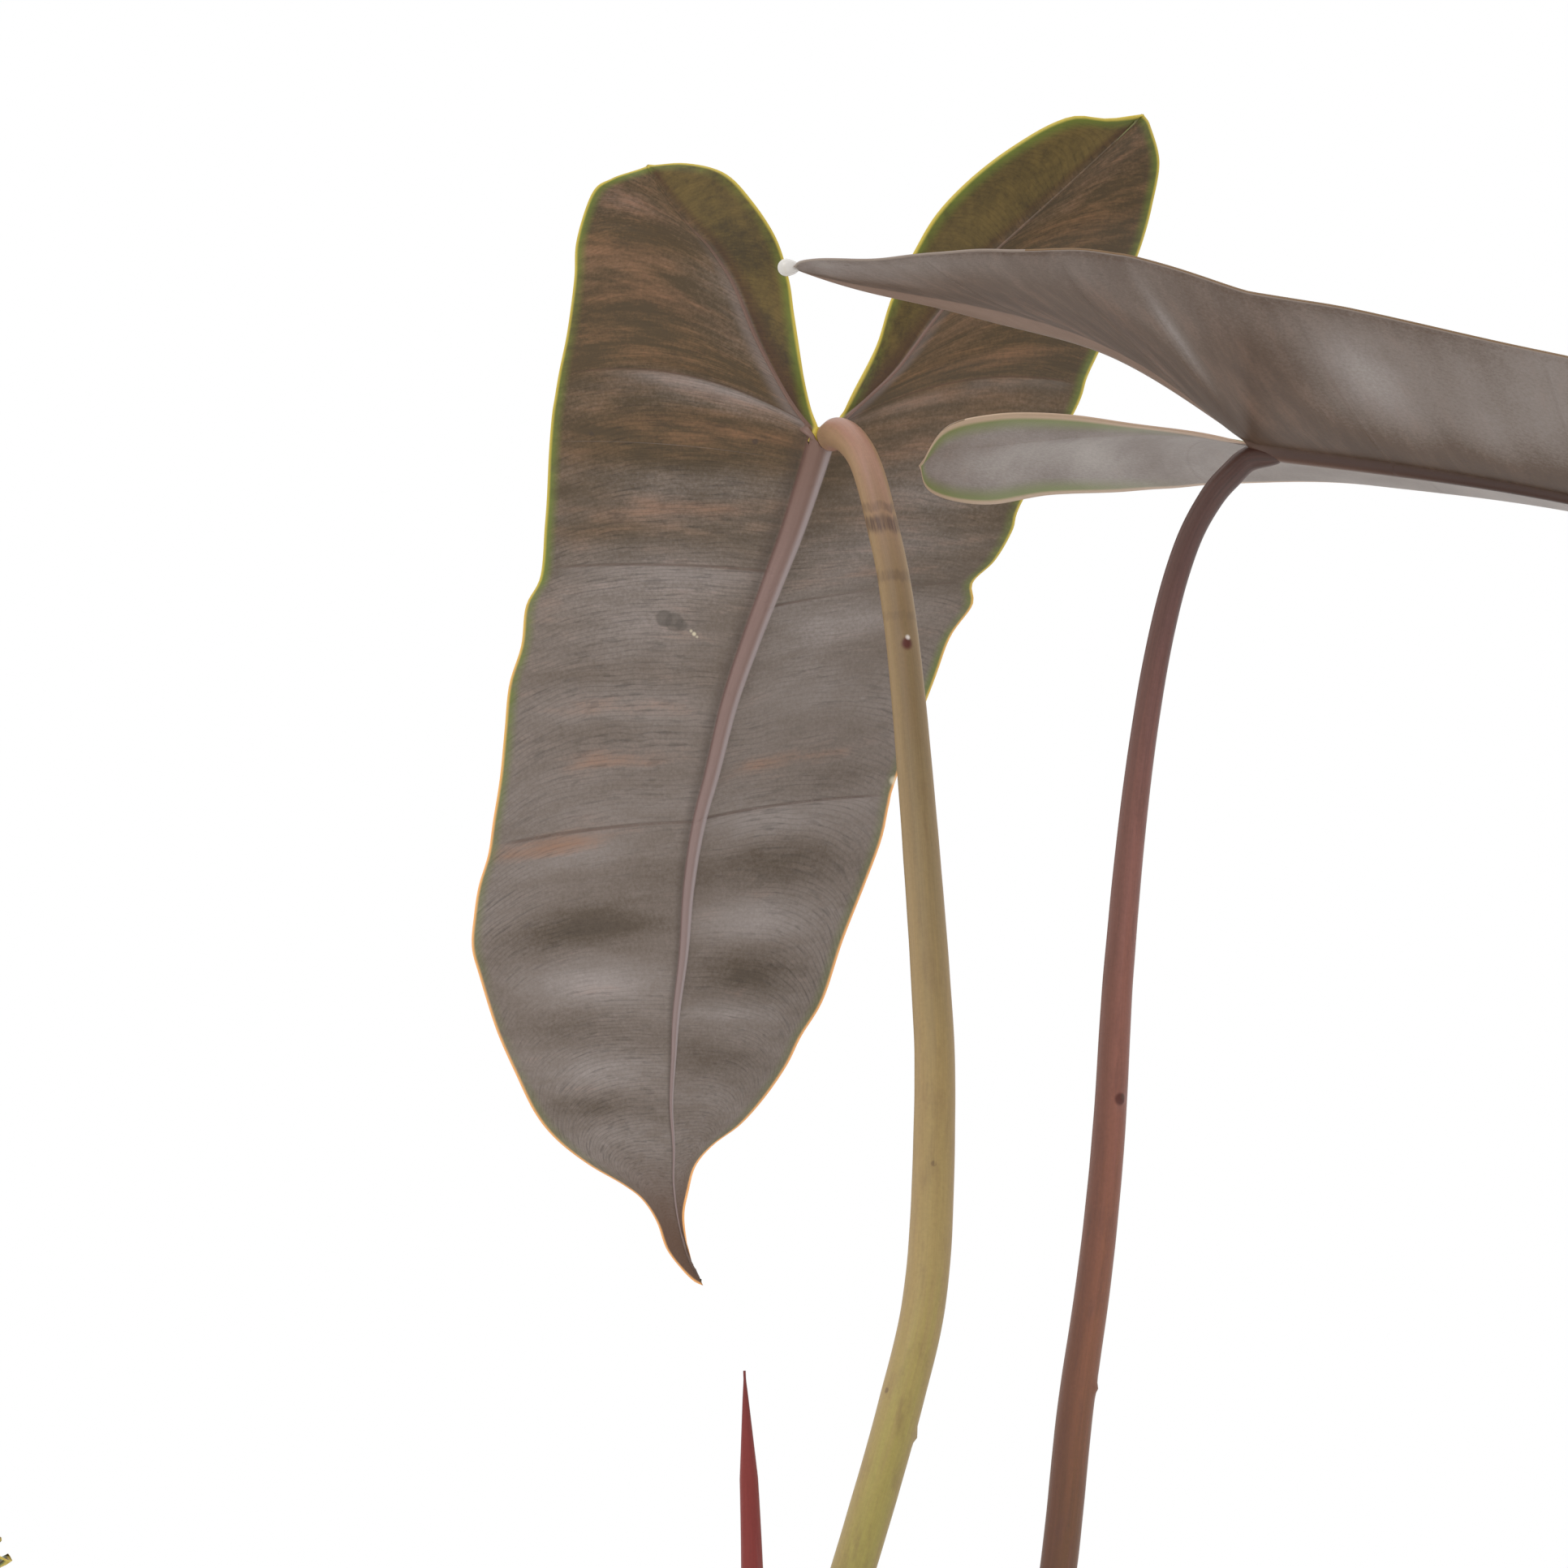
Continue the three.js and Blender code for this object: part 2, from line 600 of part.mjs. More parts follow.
const rimFoot = POT_HEIGHT - POT_RIM_HEIGHT;
let pot = turned([
  [0, 0], [POT_FOOT_RADIUS - 2, 0], [POT_FOOT_RADIUS, 2],
  [potRadius(rimFoot), rimFoot], [potRadius(rimFoot) + POT_RIM_PROUD, rimFoot + 1],
  [POT_TOP_RADIUS, POT_HEIGHT - 1], [POT_TOP_RADIUS - 1, POT_HEIGHT],
  [potRadius(POT_HEIGHT) - POT_WALL + 0.6, POT_HEIGHT],
  [potRadius(POT_HEIGHT) - POT_WALL, POT_HEIGHT - 0.8],
  [potRadius(POT_FLOOR) - POT_WALL, POT_FLOOR], [0, POT_FLOOR],
], POT_SIDES);
for (let k = 0; k < DRAIN_HOLES; k += 1) {
  const turn = (2 * Math.PI * k) / DRAIN_HOLES;
  const drill = new THREE.CylinderGeometry(DRAIN_RADIUS, DRAIN_RADIUS, 4 * POT_FLOOR, 16);
  drill.rotateX(Math.PI / 2);
  drill.translate(DRAIN_CIRCLE * Math.cos(turn), DRAIN_CIRCLE * Math.sin(turn), POT_FLOOR / 2);
  pot = pot.subtract(toSolid(drill));
}
addNode('pot', toGeometry(pot), 'pot');

// Soil, lumpy on top and with flat chips of bark half sunk in it
const soilFoot = POT_FLOOR + GAP;
const insideAt = (z) => potRadius(z) - POT_WALL - GAP;
const soilEdge = insideAt(SOIL_LEVEL);
const soilTop = Array.from({ length: SOIL_RINGS }, (_, k) => {
  const inward = (k + 1) / SOIL_RINGS;
  return [soilEdge * (1 - inward), SOIL_LEVEL + SOIL_DOME * Math.sin((inward * Math.PI) / 2)];
});
const soilLathe = new THREE.LatheGeometry([
  [0, soilFoot], [insideAt(soilFoot), soilFoot], [soilEdge, SOIL_LEVEL], ...soilTop,
].map(([r, z]) => new THREE.Vector2(Math.max(r, 0), z)), SOIL_SIDES).rotateX(Math.PI / 2);
const soilPoints = soilLathe.attributes.position;
for (let n = 0; n < soilPoints.count; n += 1) {
  const [x, y, z] = [soilPoints.getX(n), soilPoints.getY(n), soilPoints.getZ(n)];
  if (z > SOIL_LEVEL && Math.hypot(x, y) > 1) {
    const lump = Math.sin(x * 0.71 + 1.3) * Math.sin(y * 0.83) + 0.6 * Math.sin(x * 1.9 - y * 1.3);
    soilPoints.setZ(n, z + SOIL_LUMP * lump);
  }
}
let soil = toSolid(soilLathe);
const draw = draws(11);
for (let k = 0; k < CHIPS; k += 1) {
  const turn = 2.4 * k + draw();
  const away = mix(18, 50, Math.sqrt((k + 0.5) / CHIPS));
  const chip = new THREE.BoxGeometry(mix(6, 12, draw()), mix(4, 7, draw()), CHIP_THICKNESS);
  chip.rotateX(mix(-0.3, 0.3, draw()));
  chip.rotateZ(2 * Math.PI * draw());
  chip.translate(away * Math.cos(turn), away * Math.sin(turn), SOIL_LEVEL + SOIL_DOME);
  soil = soil.add(toSolid(chip));
}
addNode('potting_soil', toGeometry(soil.subtract(stemWithGap)), 'soil');

export default plant;
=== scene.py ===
# %% [markdown]
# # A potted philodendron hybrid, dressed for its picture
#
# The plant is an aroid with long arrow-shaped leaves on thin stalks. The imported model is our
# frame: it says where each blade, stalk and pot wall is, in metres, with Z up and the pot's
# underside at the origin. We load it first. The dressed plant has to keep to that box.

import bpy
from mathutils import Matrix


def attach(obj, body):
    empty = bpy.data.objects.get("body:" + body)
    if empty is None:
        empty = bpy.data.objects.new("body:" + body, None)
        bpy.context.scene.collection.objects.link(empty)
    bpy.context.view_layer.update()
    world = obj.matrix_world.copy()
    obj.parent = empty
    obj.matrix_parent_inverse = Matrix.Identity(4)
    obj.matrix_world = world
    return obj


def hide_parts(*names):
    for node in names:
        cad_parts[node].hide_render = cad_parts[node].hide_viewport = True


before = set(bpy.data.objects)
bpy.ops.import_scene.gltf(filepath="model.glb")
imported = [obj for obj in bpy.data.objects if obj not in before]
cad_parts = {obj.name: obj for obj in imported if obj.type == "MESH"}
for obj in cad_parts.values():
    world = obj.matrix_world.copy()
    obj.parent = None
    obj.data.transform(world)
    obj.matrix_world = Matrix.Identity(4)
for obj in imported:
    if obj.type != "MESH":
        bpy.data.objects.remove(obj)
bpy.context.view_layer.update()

# %% The tools for the rest of the lesson
import math
from random import Random
from types import SimpleNamespace

import bpy
from mathutils import Vector, noise

MM = 0.001
scene = bpy.context.scene
scene.view_settings.view_transform = "Standard"
print("Pieces of the frame:", len(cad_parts))

# %% [markdown]
# ## The camera
#
# The picture is taken from a little over a metre away with a long lens, slightly from below, so
# that the hanging leaf shows its underside and the next leaf is seen nearly edge-on. A lens of
# 152.5 mm on a 36 mm sensor has the same narrow view. The camera needs no shift.

# %% Add the camera
CAMERA_PLACE = (0.003, -1.247, 0.3048)
CAMERA_TURN = (math.radians(94), 0, 0)
bpy.ops.object.camera_add(location=CAMERA_PLACE, rotation=CAMERA_TURN)
camera = bpy.context.object
camera.name = "camera"
camera.data.sensor_width = 36
camera.data.lens = 152.5
scene.camera = camera
print("Camera looks up by", round(math.degrees(camera.rotation_euler.x) - 90, 1), "degrees")

# %% [markdown]
# ## Shader maths as plain expressions
#
# A procedural finish is a small calculation that runs for each point of a surface. Written as
# nodes it soon becomes a maze, so one class wraps a socket and lets us write `1 - mask` or
# `row * 3`. Whatever isn't arithmetic comes from its `node` method.


# %% A wire that can be calculated with
class Wire:
    """One output socket of a node tree. Arithmetic on it adds Math nodes."""

    def __init__(self, tree, socket=None):
        self.tree = tree
        self.socket = socket

    def node(self, kind, settings=None, sockets=None, out=0):
        node = self.tree.nodes.new("ShaderNode" + kind)
        for name, value in (settings or {}).items():
            if name == "stops":
                lay_stops(node.color_ramp, value)
            else:
                setattr(node, name, value)
        for key, value in (sockets or {}).items():
            if isinstance(value, Wire):
                self.tree.links.new(value.socket, node.inputs[key])
            else:
                node.inputs[key].default_value = value
        return Wire(self.tree, node.outputs[out])

    def math(self, operation, *values):
        return self.node("Math", {"operation": operation}, dict(enumerate(values)))

    def __abs__(self):
        return self.math("ABSOLUTE", self)

    def __add__(self, other):
        return self.math("ADD", self, other)

    def __sub__(self, other):
        return self.math("SUBTRACT", self, other)

    def __rsub__(self, other):
        return self.math("SUBTRACT", other, self)

    def __mul__(self, other):
        return self.math("MULTIPLY", self, other)

    def __truediv__(self, other):
        return self.math("DIVIDE", self, other)

    __radd__ = __add__
    __rmul__ = __mul__


def lay_stops(ramp, stops):
    """Lays (place, colour) stops on a colour ramp that starts with two."""
    while len(ramp.elements) < len(stops):
        ramp.elements.new(0.5)
    for element, (place, color) in zip(ramp.elements, stops):
        element.position = place
        element.color = color


def paint(code):
    """A colour as written for a screen, such as 7D7067, in the linear values of a shader."""
    parts = [int(code[k:k + 2], 16) / 255 for k in (0, 2, 4)]
    return (*[p / 12.92 if p < 0.04045 else ((p + 0.055) / 1.055) ** 2.4 for p in parts], 1)


print("Paint 808080 is", round(paint("808080")[0], 3), "in linear light")


# %% Soft steps and colours
def step(value, low, high):
    """0 below low and 1 above high, with a soft way between. low may be the larger one."""
    ends = {"From Min": low, "From Max": high}
    return value.node("MapRange", {"interpolation_type": "SMOOTHSTEP"}, {"Value": value, **ends})


def blend(amount, first, second):
    """The first colour where amount is 0, the second where it is 1."""
    sockets = {0: amount, 6: first, 7: second}
    return amount.node("Mix", {"data_type": "RGBA"}, sockets, out=2)


def between(amount, first, second):
    """The same between two colours that are given by their codes."""
    return blend(amount, paint(first), paint(second))


def stain(color, amount, code):
    """A colour that is covered by another one, given by its code, as far as amount says."""
    return blend(amount, color, paint(code))


def color_ramp(level, codes):
    """Colours at equal steps of a level from 0 to 1."""
    stops = [(k / (len(codes) - 1), paint(code)) for k, code in enumerate(codes)]
    return level.node("ValToRGB", {"stops": stops}, {0: level})


def shade(color, amount):
    """A colour made lighter or darker by a number that varies."""
    settings = {"operation": "SCALE"}
    return amount.node("VectorMath", settings, {"Vector": color, "Scale": amount})


print("Three ways to mix two colours")


# %% Places, noise, and the start and end of a finish
def place(x, y, z):
    """A vector from three numbers, of which at least x varies."""
    return x.node("CombineXYZ", None, {0: x, 1: y, 2: z})


def axis(vector, k):
    """The x, y or z of a vector, for k of 0, 1 or 2."""
    return vector.node("SeparateXYZ", None, {0: vector}, out=k)


def cloud(vector, scale, detail=2.0, roughness=0.5):
    sockets = {"Vector": vector, "Scale": scale, "Detail": detail, "Roughness": roughness}
    return vector.node("TexNoise", None, sockets)


def mark(wire, name):
    """A number that the mesh carries at each of its points."""
    return wire.node("Attribute", {"attribute_name": name}, out=2)


def object_point(wire):
    return wire.node("TexCoord", out=3)


def near(wire, spot, inner, outer):
    """1 within inner metres of a spot in space, falling to 0 at outer."""
    sockets = {0: object_point(wire), 1: spot}
    away = wire.node("VectorMath", {"operation": "DISTANCE"}, sockets, out=1)
    return step(away, outer, inner)


def relief(height, depth, strength=1.0):
    return height.node("Bump", None, {"Strength": strength, "Distance": depth, "Height": height})


def new_finish(name):
    """A material with its Principled shader, and a wire to build on."""
    material = bpy.data.materials.new(name)
    material.use_nodes = True
    return material, material.node_tree.nodes["Principled BSDF"], Wire(material.node_tree)


def feed(shader, **sockets):
    """Sets or links sockets of a shader. base_color stands for Base Color, and so on."""
    for key, value in sockets.items():
        socket = shader.inputs[key.replace("_", " ").title()]
        if isinstance(value, Wire):
            value.tree.links.new(value.socket, socket)
        else:
            socket.default_value = value


print("Shader helpers are ready")

# %% [markdown]
# ## Light and floor
#
# The real plant stands in front of a bright white screen, with less light on the side of the
# camera. So the world is white where the camera looks past the plant, and what lights the plant
# is a soft dome: brightest above and behind, dim below and in front. One large soft lamp gives
# the leaves and the pot a little shape from the other sides.

# %% White surroundings, a soft dome of light and a lamp
world = bpy.data.worlds.new("studio")
scene.world = world
world.use_nodes = True
sky = Wire(world.node_tree)
background = world.node_tree.nodes["Background"]
direction = sky.node("TexCoord")
dome = 0.72 + axis(direction, 2) * 0.42 + axis(direction, 1) * 0.2
seen = sky.node("LightPath")
level = seen + (1 - seen) * dome
sky.tree.links.new(place(level, level, level).socket, background.inputs["Color"])
LAMP_PLACE = (-0.9, -1.2, 1.7)
LAMP_TURN = (math.radians(46), 0, math.radians(-37))
bpy.ops.object.light_add(type="AREA", location=LAMP_PLACE, rotation=LAMP_TURN)
lamp = bpy.context.object
lamp.name = "soft_lamp"
lamp.data.size = 1.2
lamp.data.energy = 9
print("The lamp gives", lamp.data.energy, "W")

# %% A pale floor under the pot
FLOOR_RADIUS = 1.6
UNDER_POT = (0, 0, -0.0003)
bpy.ops.mesh.primitive_circle_add(
    vertices=96, radius=FLOOR_RADIUS, fill_type="NGON", location=UNDER_POT)
floor = bpy.context.object
floor.name = "floor"
bpy.ops.object.transform_apply(location=True)
floor_finish, shader, wire = new_finish("pale_floor")
grain = cloud(object_point(wire), 9.0, 4.0)
feed(shader, base_color=between(grain, "EDECEA", "F3F2F0"), roughness=0.75)
floor.data.materials.append(floor_finish)
print("Floor is", floor.dimensions.x, "m across")

# %% [markdown]
# ## How a leaf blade is laid out
#
# A philodendron leaf is a thin leathery sheet. One thick midrib runs from the stalk's joint to
# the drip tip, and two basal nerves run back into the lobes. From them, many fine side veins
# run outwards, nearly parallel. A grid whose rows follow the side veins therefore fits the leaf
# as a glove does: row 0 is the tip, row 1 is the joint, and rows 1 to 2 climb a lobe. A plane
# can't be bent into this with the usual operators, so we add flat grids by operator and then lay
# each of their points on the leaf in code.

# %% Curves through measured points
def on_curve(points, t):
    """The point at t on a smooth curve through points, where t counts whole points."""
    k = min(max(int(t), 0), len(points) - 2)
    f = t - k
    p1, p2 = points[k], points[k + 1]
    p0 = points[k - 1] if k else p1 * 2 - p2
    p3 = points[k + 2] if k + 2 < len(points) else p2 * 2 - p1
    rise = p2 - p0
    fall = p3 - p1
    return p1 + f * (rise * 0.5 + f * ((p2 - p1) * 3 - rise - fall * 0.5 + f * (
        (p1 - p2) * 2 + (rise + fall) * 0.5)))


def keyed(rows, row):
    """Where a row lies among increasing key rows, counted in whole keys."""
    for k in range(len(rows) - 1):
        if row <= rows[k + 1]:
            return k + (row - rows[k]) / (rows[k + 1] - rows[k])
    return len(rows) - 1.0


def ease(low, high, x):
    t = min(max((x - low) / (high - low), 0.0), 1.0)
    return t * t * (3 - 2 * t)


def mix(a, b, t):
    return a + (b - a) * t


def bell(x, middle, width):
    return math.exp(-((x - middle) / width) ** 2)


half_way = on_curve([Vector((0, 0)), Vector((1, 0)), Vector((1, 1))], 0.5)
print("Half-way on a first stretch:", [round(c, 3) for c in half_way])

# %% The common outline, as shares of the leaf's length
RIBS = [1, 0.955, 0.91, 0.86, 0.79, 0.71, 0.62, 0.52, 0.42, 0.32, 0.22, 0.12, 0]
MARGIN = [
    (0, 1), (0.016, 0.96), (0.034, 0.925), (0.075, 0.88), (0.145, 0.815), (0.205, 0.73),
    (0.238, 0.63), (0.252, 0.525), (0.258, 0.41), (0.264, 0.295), (0.274, 0.18), (0.287, 0.06),
    (0.298, -0.07), (0.304, -0.15), (0.307, -0.22), (0.303, -0.29), (0.288, -0.355),
    (0.257, -0.405), (0.212, -0.43),
]
NERVE = [
    (0, 0), (0.042, -0.075), (0.085, -0.155), (0.122, -0.235), (0.157, -0.315), (0.187, -0.385),
    (0.212, -0.43),
]
NOTCH = [
    (0, 0), (0.018, -0.065), (0.034, -0.14), (0.051, -0.215), (0.075, -0.295), (0.116, -0.375),
    (0.212, -0.43),
]
# The margin of a lobe that ends broad and blunt, and where its notch edge turns to the end.
BLUNT_MARGIN = [
    (0.3, -0.15), (0.288, -0.22), (0.29, -0.295), (0.31, -0.37), (0.302, -0.43), (0.24, -0.426),
]
BLUNT_KNEE = (0.132, -0.366)


def common_half(side, leaf):
    """One half of a leaf of the common form: its margin, lobe nerve and notch edge, in mm."""
    def lay(point):
        a, b = point
        bend = leaf["sway"] * leaf["length"] * math.sin(math.pi * max(b, 0))
        lobe = leaf["lobe"] if b < 0 else 1
        return Vector((side * a * leaf["length"] * leaf["width"] + bend, b * leaf["length"] * lobe))

    main = len(RIBS) - 1
    lobes = len(NERVE) - 1
    lobe_rows = [1 + k / lobes for k in range(lobes + 1)]
    blunt = side == leaf["blunt_side"]
    outer = MARGIN[:-6] + BLUNT_MARGIN if blunt else MARGIN
    knee = BLUNT_KNEE if blunt else NOTCH[-2]
    end = outer[-1]
    return {
        "margin": [lay(p) for p in outer],
        "margin_rows": [k / main for k in range(main)] + lobe_rows,
        "nerve": [lay(p) for p in [*NERVE[:-1], end]],
        "notch": [lay(p) for p in [*NOTCH[:-2], knee, end]],
        "notch_rows": lobe_rows,
    }


print("The common outline has", len(MARGIN), "margin points a side")

# %% The outline of the leaf in focus, in millimetres, with the vein row of each point
FIRST_MIDRIB = [
    (-24, 171.5), (-27, 166), (-29, 158.5), (-30, 151), (-30, 143.5), (-30.5, 134.5),
    (-30, 124.5), (-29.5, 116), (-28, 104), (-27, 91), (-25, 78), (-22, 66.5), (-18.5, 52.5),
    (-14, 39.5), (-10, 29), (-6, 18.5), (-2.5, 8), (0, 0),
]
FIRST_MARGIN = {
    -1: [
        (0, -24, 171.5), (0.014, -26, 170.5), (0.036, -28.5, 168), (0.068, -31.5, 164),
        (0.106, -33.5, 158.5), (0.141, -36.5, 154), (0.174, -40.5, 151), (0.214, -47.5, 147),
        (0.258, -54, 142), (0.297, -58.5, 136.5), (0.34, -62.5, 128.5), (0.402, -66.5, 119.5),
        (0.465, -70, 108.5), (0.498, -71.5, 102.5), (0.532, -71, 96), (0.558, -70, 90),
        (0.588, -68, 83.5), (0.614, -67, 77), (0.65, -65.5, 68), (0.683, -64.5, 58.5),
        (0.719, -63.5, 49), (0.754, -61, 41), (0.793, -60, 33), (0.827, -57, 27),
        (0.885, -56, 17), (0.913, -55.5, 11), (0.952, -55, 2.5), (0.984, -54.3, -5),
        (1, -53.7, -8.5), (1.106, -52.7, -14), (1.252, -51, -22), (1.397, -49.5, -32),
        (1.507, -49, -39.5), (1.67, -46, -48.5), (1.795, -42, -51.5), (2, -34.5, -54),
    ],
    1: [
        (0, -24, 171.5), (0.014, -25.5, 170), (0.055, -27, 164.5), (0.107, -28, 157.5),
        (0.145, -27, 152), (0.179, -25.5, 147), (0.214, -22, 143), (0.257, -16.5, 139),
        (0.302, -11.5, 133.5), (0.345, -7, 127), (0.386, -4, 121), (0.433, 0.5, 113.5),
        (0.487, 4.5, 101.5), (0.533, 9, 90), (0.563, 12.5, 80.5), (0.585, 14, 73.5),
        (0.608, 15.5, 68), (0.689, 23, 48.5), (0.731, 26.5, 39), (0.769, 31, 32.5),
        (0.795, 31, 28), (0.836, 35.5, 23.5), (0.885, 39, 17.5), (0.921, 41, 11.5),
        (0.996, 51.5, -6.5), (1.113, 54, -13.5), (1.25, 56.5, -19), (1.369, 60.5, -28),
        (1.48, 63.5, -36.5), (1.548, 65, -41), (1.64, 66.5, -47), (1.766, 68, -56),
        (1.9, 66, -63), (2, 64.5, -65),
    ],
}
FIRST_NERVE = {
    -1: [
        (0, 0), (-4.5, -5), (-8, -10.5), (-13, -20), (-17.5, -30.5), (-22, -37.5), (-26.5, -42.5),
        (-31, -48), (-34.5, -54),
    ],
    1: [
        (0, 0), (4.5, -4), (10, -9), (15.5, -14.5), (23, -24.5), (31.5, -34.5), (39.5, -42),
        (50, -51.5), (64.5, -65),
    ],
}
FIRST_NOTCH = {
    -1: [
        (1, 0, 0), (1.162, -2.5, -7.5), (1.305, -4, -15), (1.432, -5.5, -24.5),
        (1.512, -6.5, -31.5), (1.623, -9, -39.5), (1.733, -14, -47), (1.829, -19.5, -52.5),
        (1.918, -27, -54.5), (2, -34.5, -54),
    ],
    1: [
        (1, 0, 0), (1.11, 3.5, -4), (1.229, 6.5, -9.5), (1.375, 11, -18.5), (1.465, 14, -28),
        (1.578, 19, -38), (1.651, 23, -44.5), (1.718, 28.5, -50.5), (1.785, 35, -56),
        (1.853, 42.5, -61), (1.893, 47.5, -63.5), (1.922, 51.5, -64.5), (1.964, 57.5, -64),
        (2, 64.5, -65),
    ],
}


def first_half(side):
    return {
        "margin": [Vector(p[1:]) for p in FIRST_MARGIN[side]],
        "margin_rows": [p[0] for p in FIRST_MARGIN[side]],
        "nerve": [Vector(p) for p in FIRST_NERVE[side]],
        "notch": [Vector(p[1:]) for p in FIRST_NOTCH[side]],
        "notch_rows": [p[0] for p in FIRST_NOTCH[side]],
    }


print("The first leaf's margins have", [len(p) for p in FIRST_MARGIN.values()], "points")

# %% Where each blade hangs and its habit
HABIT = {
    "tilt": 0, "arch": 0.22, "arch_power": 2, "lift": 0.12, "hump": (0, 0), "fold": (0.22, 0.22),
    "lobe_fold": (0.15, 0.15), "ripple": 1.4, "phase": 0, "width": 1, "lobe": 1, "sway": 0,
    "rib": 2.2, "rows": (100, 40), "columns": 22, "smooth_lobe": False, "blunt_side": 0,
}
LEAVES = [
    {
        "joint": (10.5, 78, 466.8), "heading": 90, "droop": 86, "length": 171, "tilt": 0.33,
        "arch": 0.2, "lift": 0.25, "fold": (0.18, 0.4), "lobe_fold": (0.1, 0.28), "ripple": 1,
        "rib": 2.75, "rows": (170, 72), "columns": 42,
    },
    {
        "joint": (88.8, -48, 450.4), "heading": -20, "droop": 9.4, "length": 180, "arch": 0.25,
        "arch_power": 3, "lift": 0.09, "hump": (2.2, 13.5), "fold": (-0.01, 0.47),
        "lobe_fold": (-0.36, 0.05), "ripple": 0.2, "phase": 1, "lobe": 1.03,
        "rows": (140, 64), "columns": 30, "smooth_lobe": True, "blunt_side": -1,
    },
    {
        "joint": (-191.5, -20, 217), "heading": 188, "droop": 26, "length": 140, "phase": 2,
        "sway": 0.02, "width": 1.04, "fold": (0.26, 0.2),
    },
    {
        "joint": (88, 102, 188), "heading": 50, "droop": 30, "length": 148, "phase": 3.3,
        "sway": -0.02, "width": 1.06, "fold": (0.16, 0.3),
    },
    {
        "joint": (8, -122, 178), "heading": -86, "droop": 30, "length": 136, "phase": 4.1,
        "sway": 0.025, "width": 1.08, "fold": (0.28, 0.18), "arch": 0.3,
    },
    {
        "joint": (-90, 84, 168), "heading": 137, "droop": 28, "length": 128, "phase": 5.2,
        "sway": -0.015, "width": 1.1, "fold": (0.2, 0.3), "lobe": 0.95,
    },
    {
        "joint": (106, -15, 146), "heading": -8, "droop": 22, "length": 108, "phase": 0.6,
        "sway": 0.02, "width": 1.12, "fold": (0.3, 0.2), "lobe": 0.92,
    },
]
# How far the notch of the first leaf leans to one side.
NOTCH_LEAN = 0.14


def hang(leaf):
    """The blade's own directions in space: across it, along its midrib and up from its face."""
    heading = math.radians(leaf["heading"])
    droop = math.radians(leaf["droop"])
    level = math.cos(droop)
    along = Vector((math.cos(heading) * level, math.sin(heading) * level, -math.sin(droop)))
    across = along.cross(Vector((0, 0, 1))).normalized()
    return Vector(leaf["joint"]), across, along, across.cross(along)


leaves = [{**HABIT, **leaf} for leaf in LEAVES]
for number, leaf in enumerate(leaves, 1):
    leaf["number"] = number
    leaf["frame"] = hang(leaf)
    if number == 1:
        leaf["midrib"] = [Vector(p) for p in FIRST_MIDRIB]
        leaf["halves"] = {side: first_half(side) for side in (-1, 1)}
        leaf["lean"] = NOTCH_LEAN
    else:
        sway = leaf["sway"] * leaf["length"]
        leaf["midrib"] = [Vector((sway * math.sin(math.pi * b), b * leaf["length"])) for b in RIBS]
        leaf["halves"] = {side: common_half(side, leaf) for side in (-1, 1)}
        leaf["lean"] = 0
print("Leaf lengths in mm, joint to tip:", [leaf["length"] for leaf in leaves])
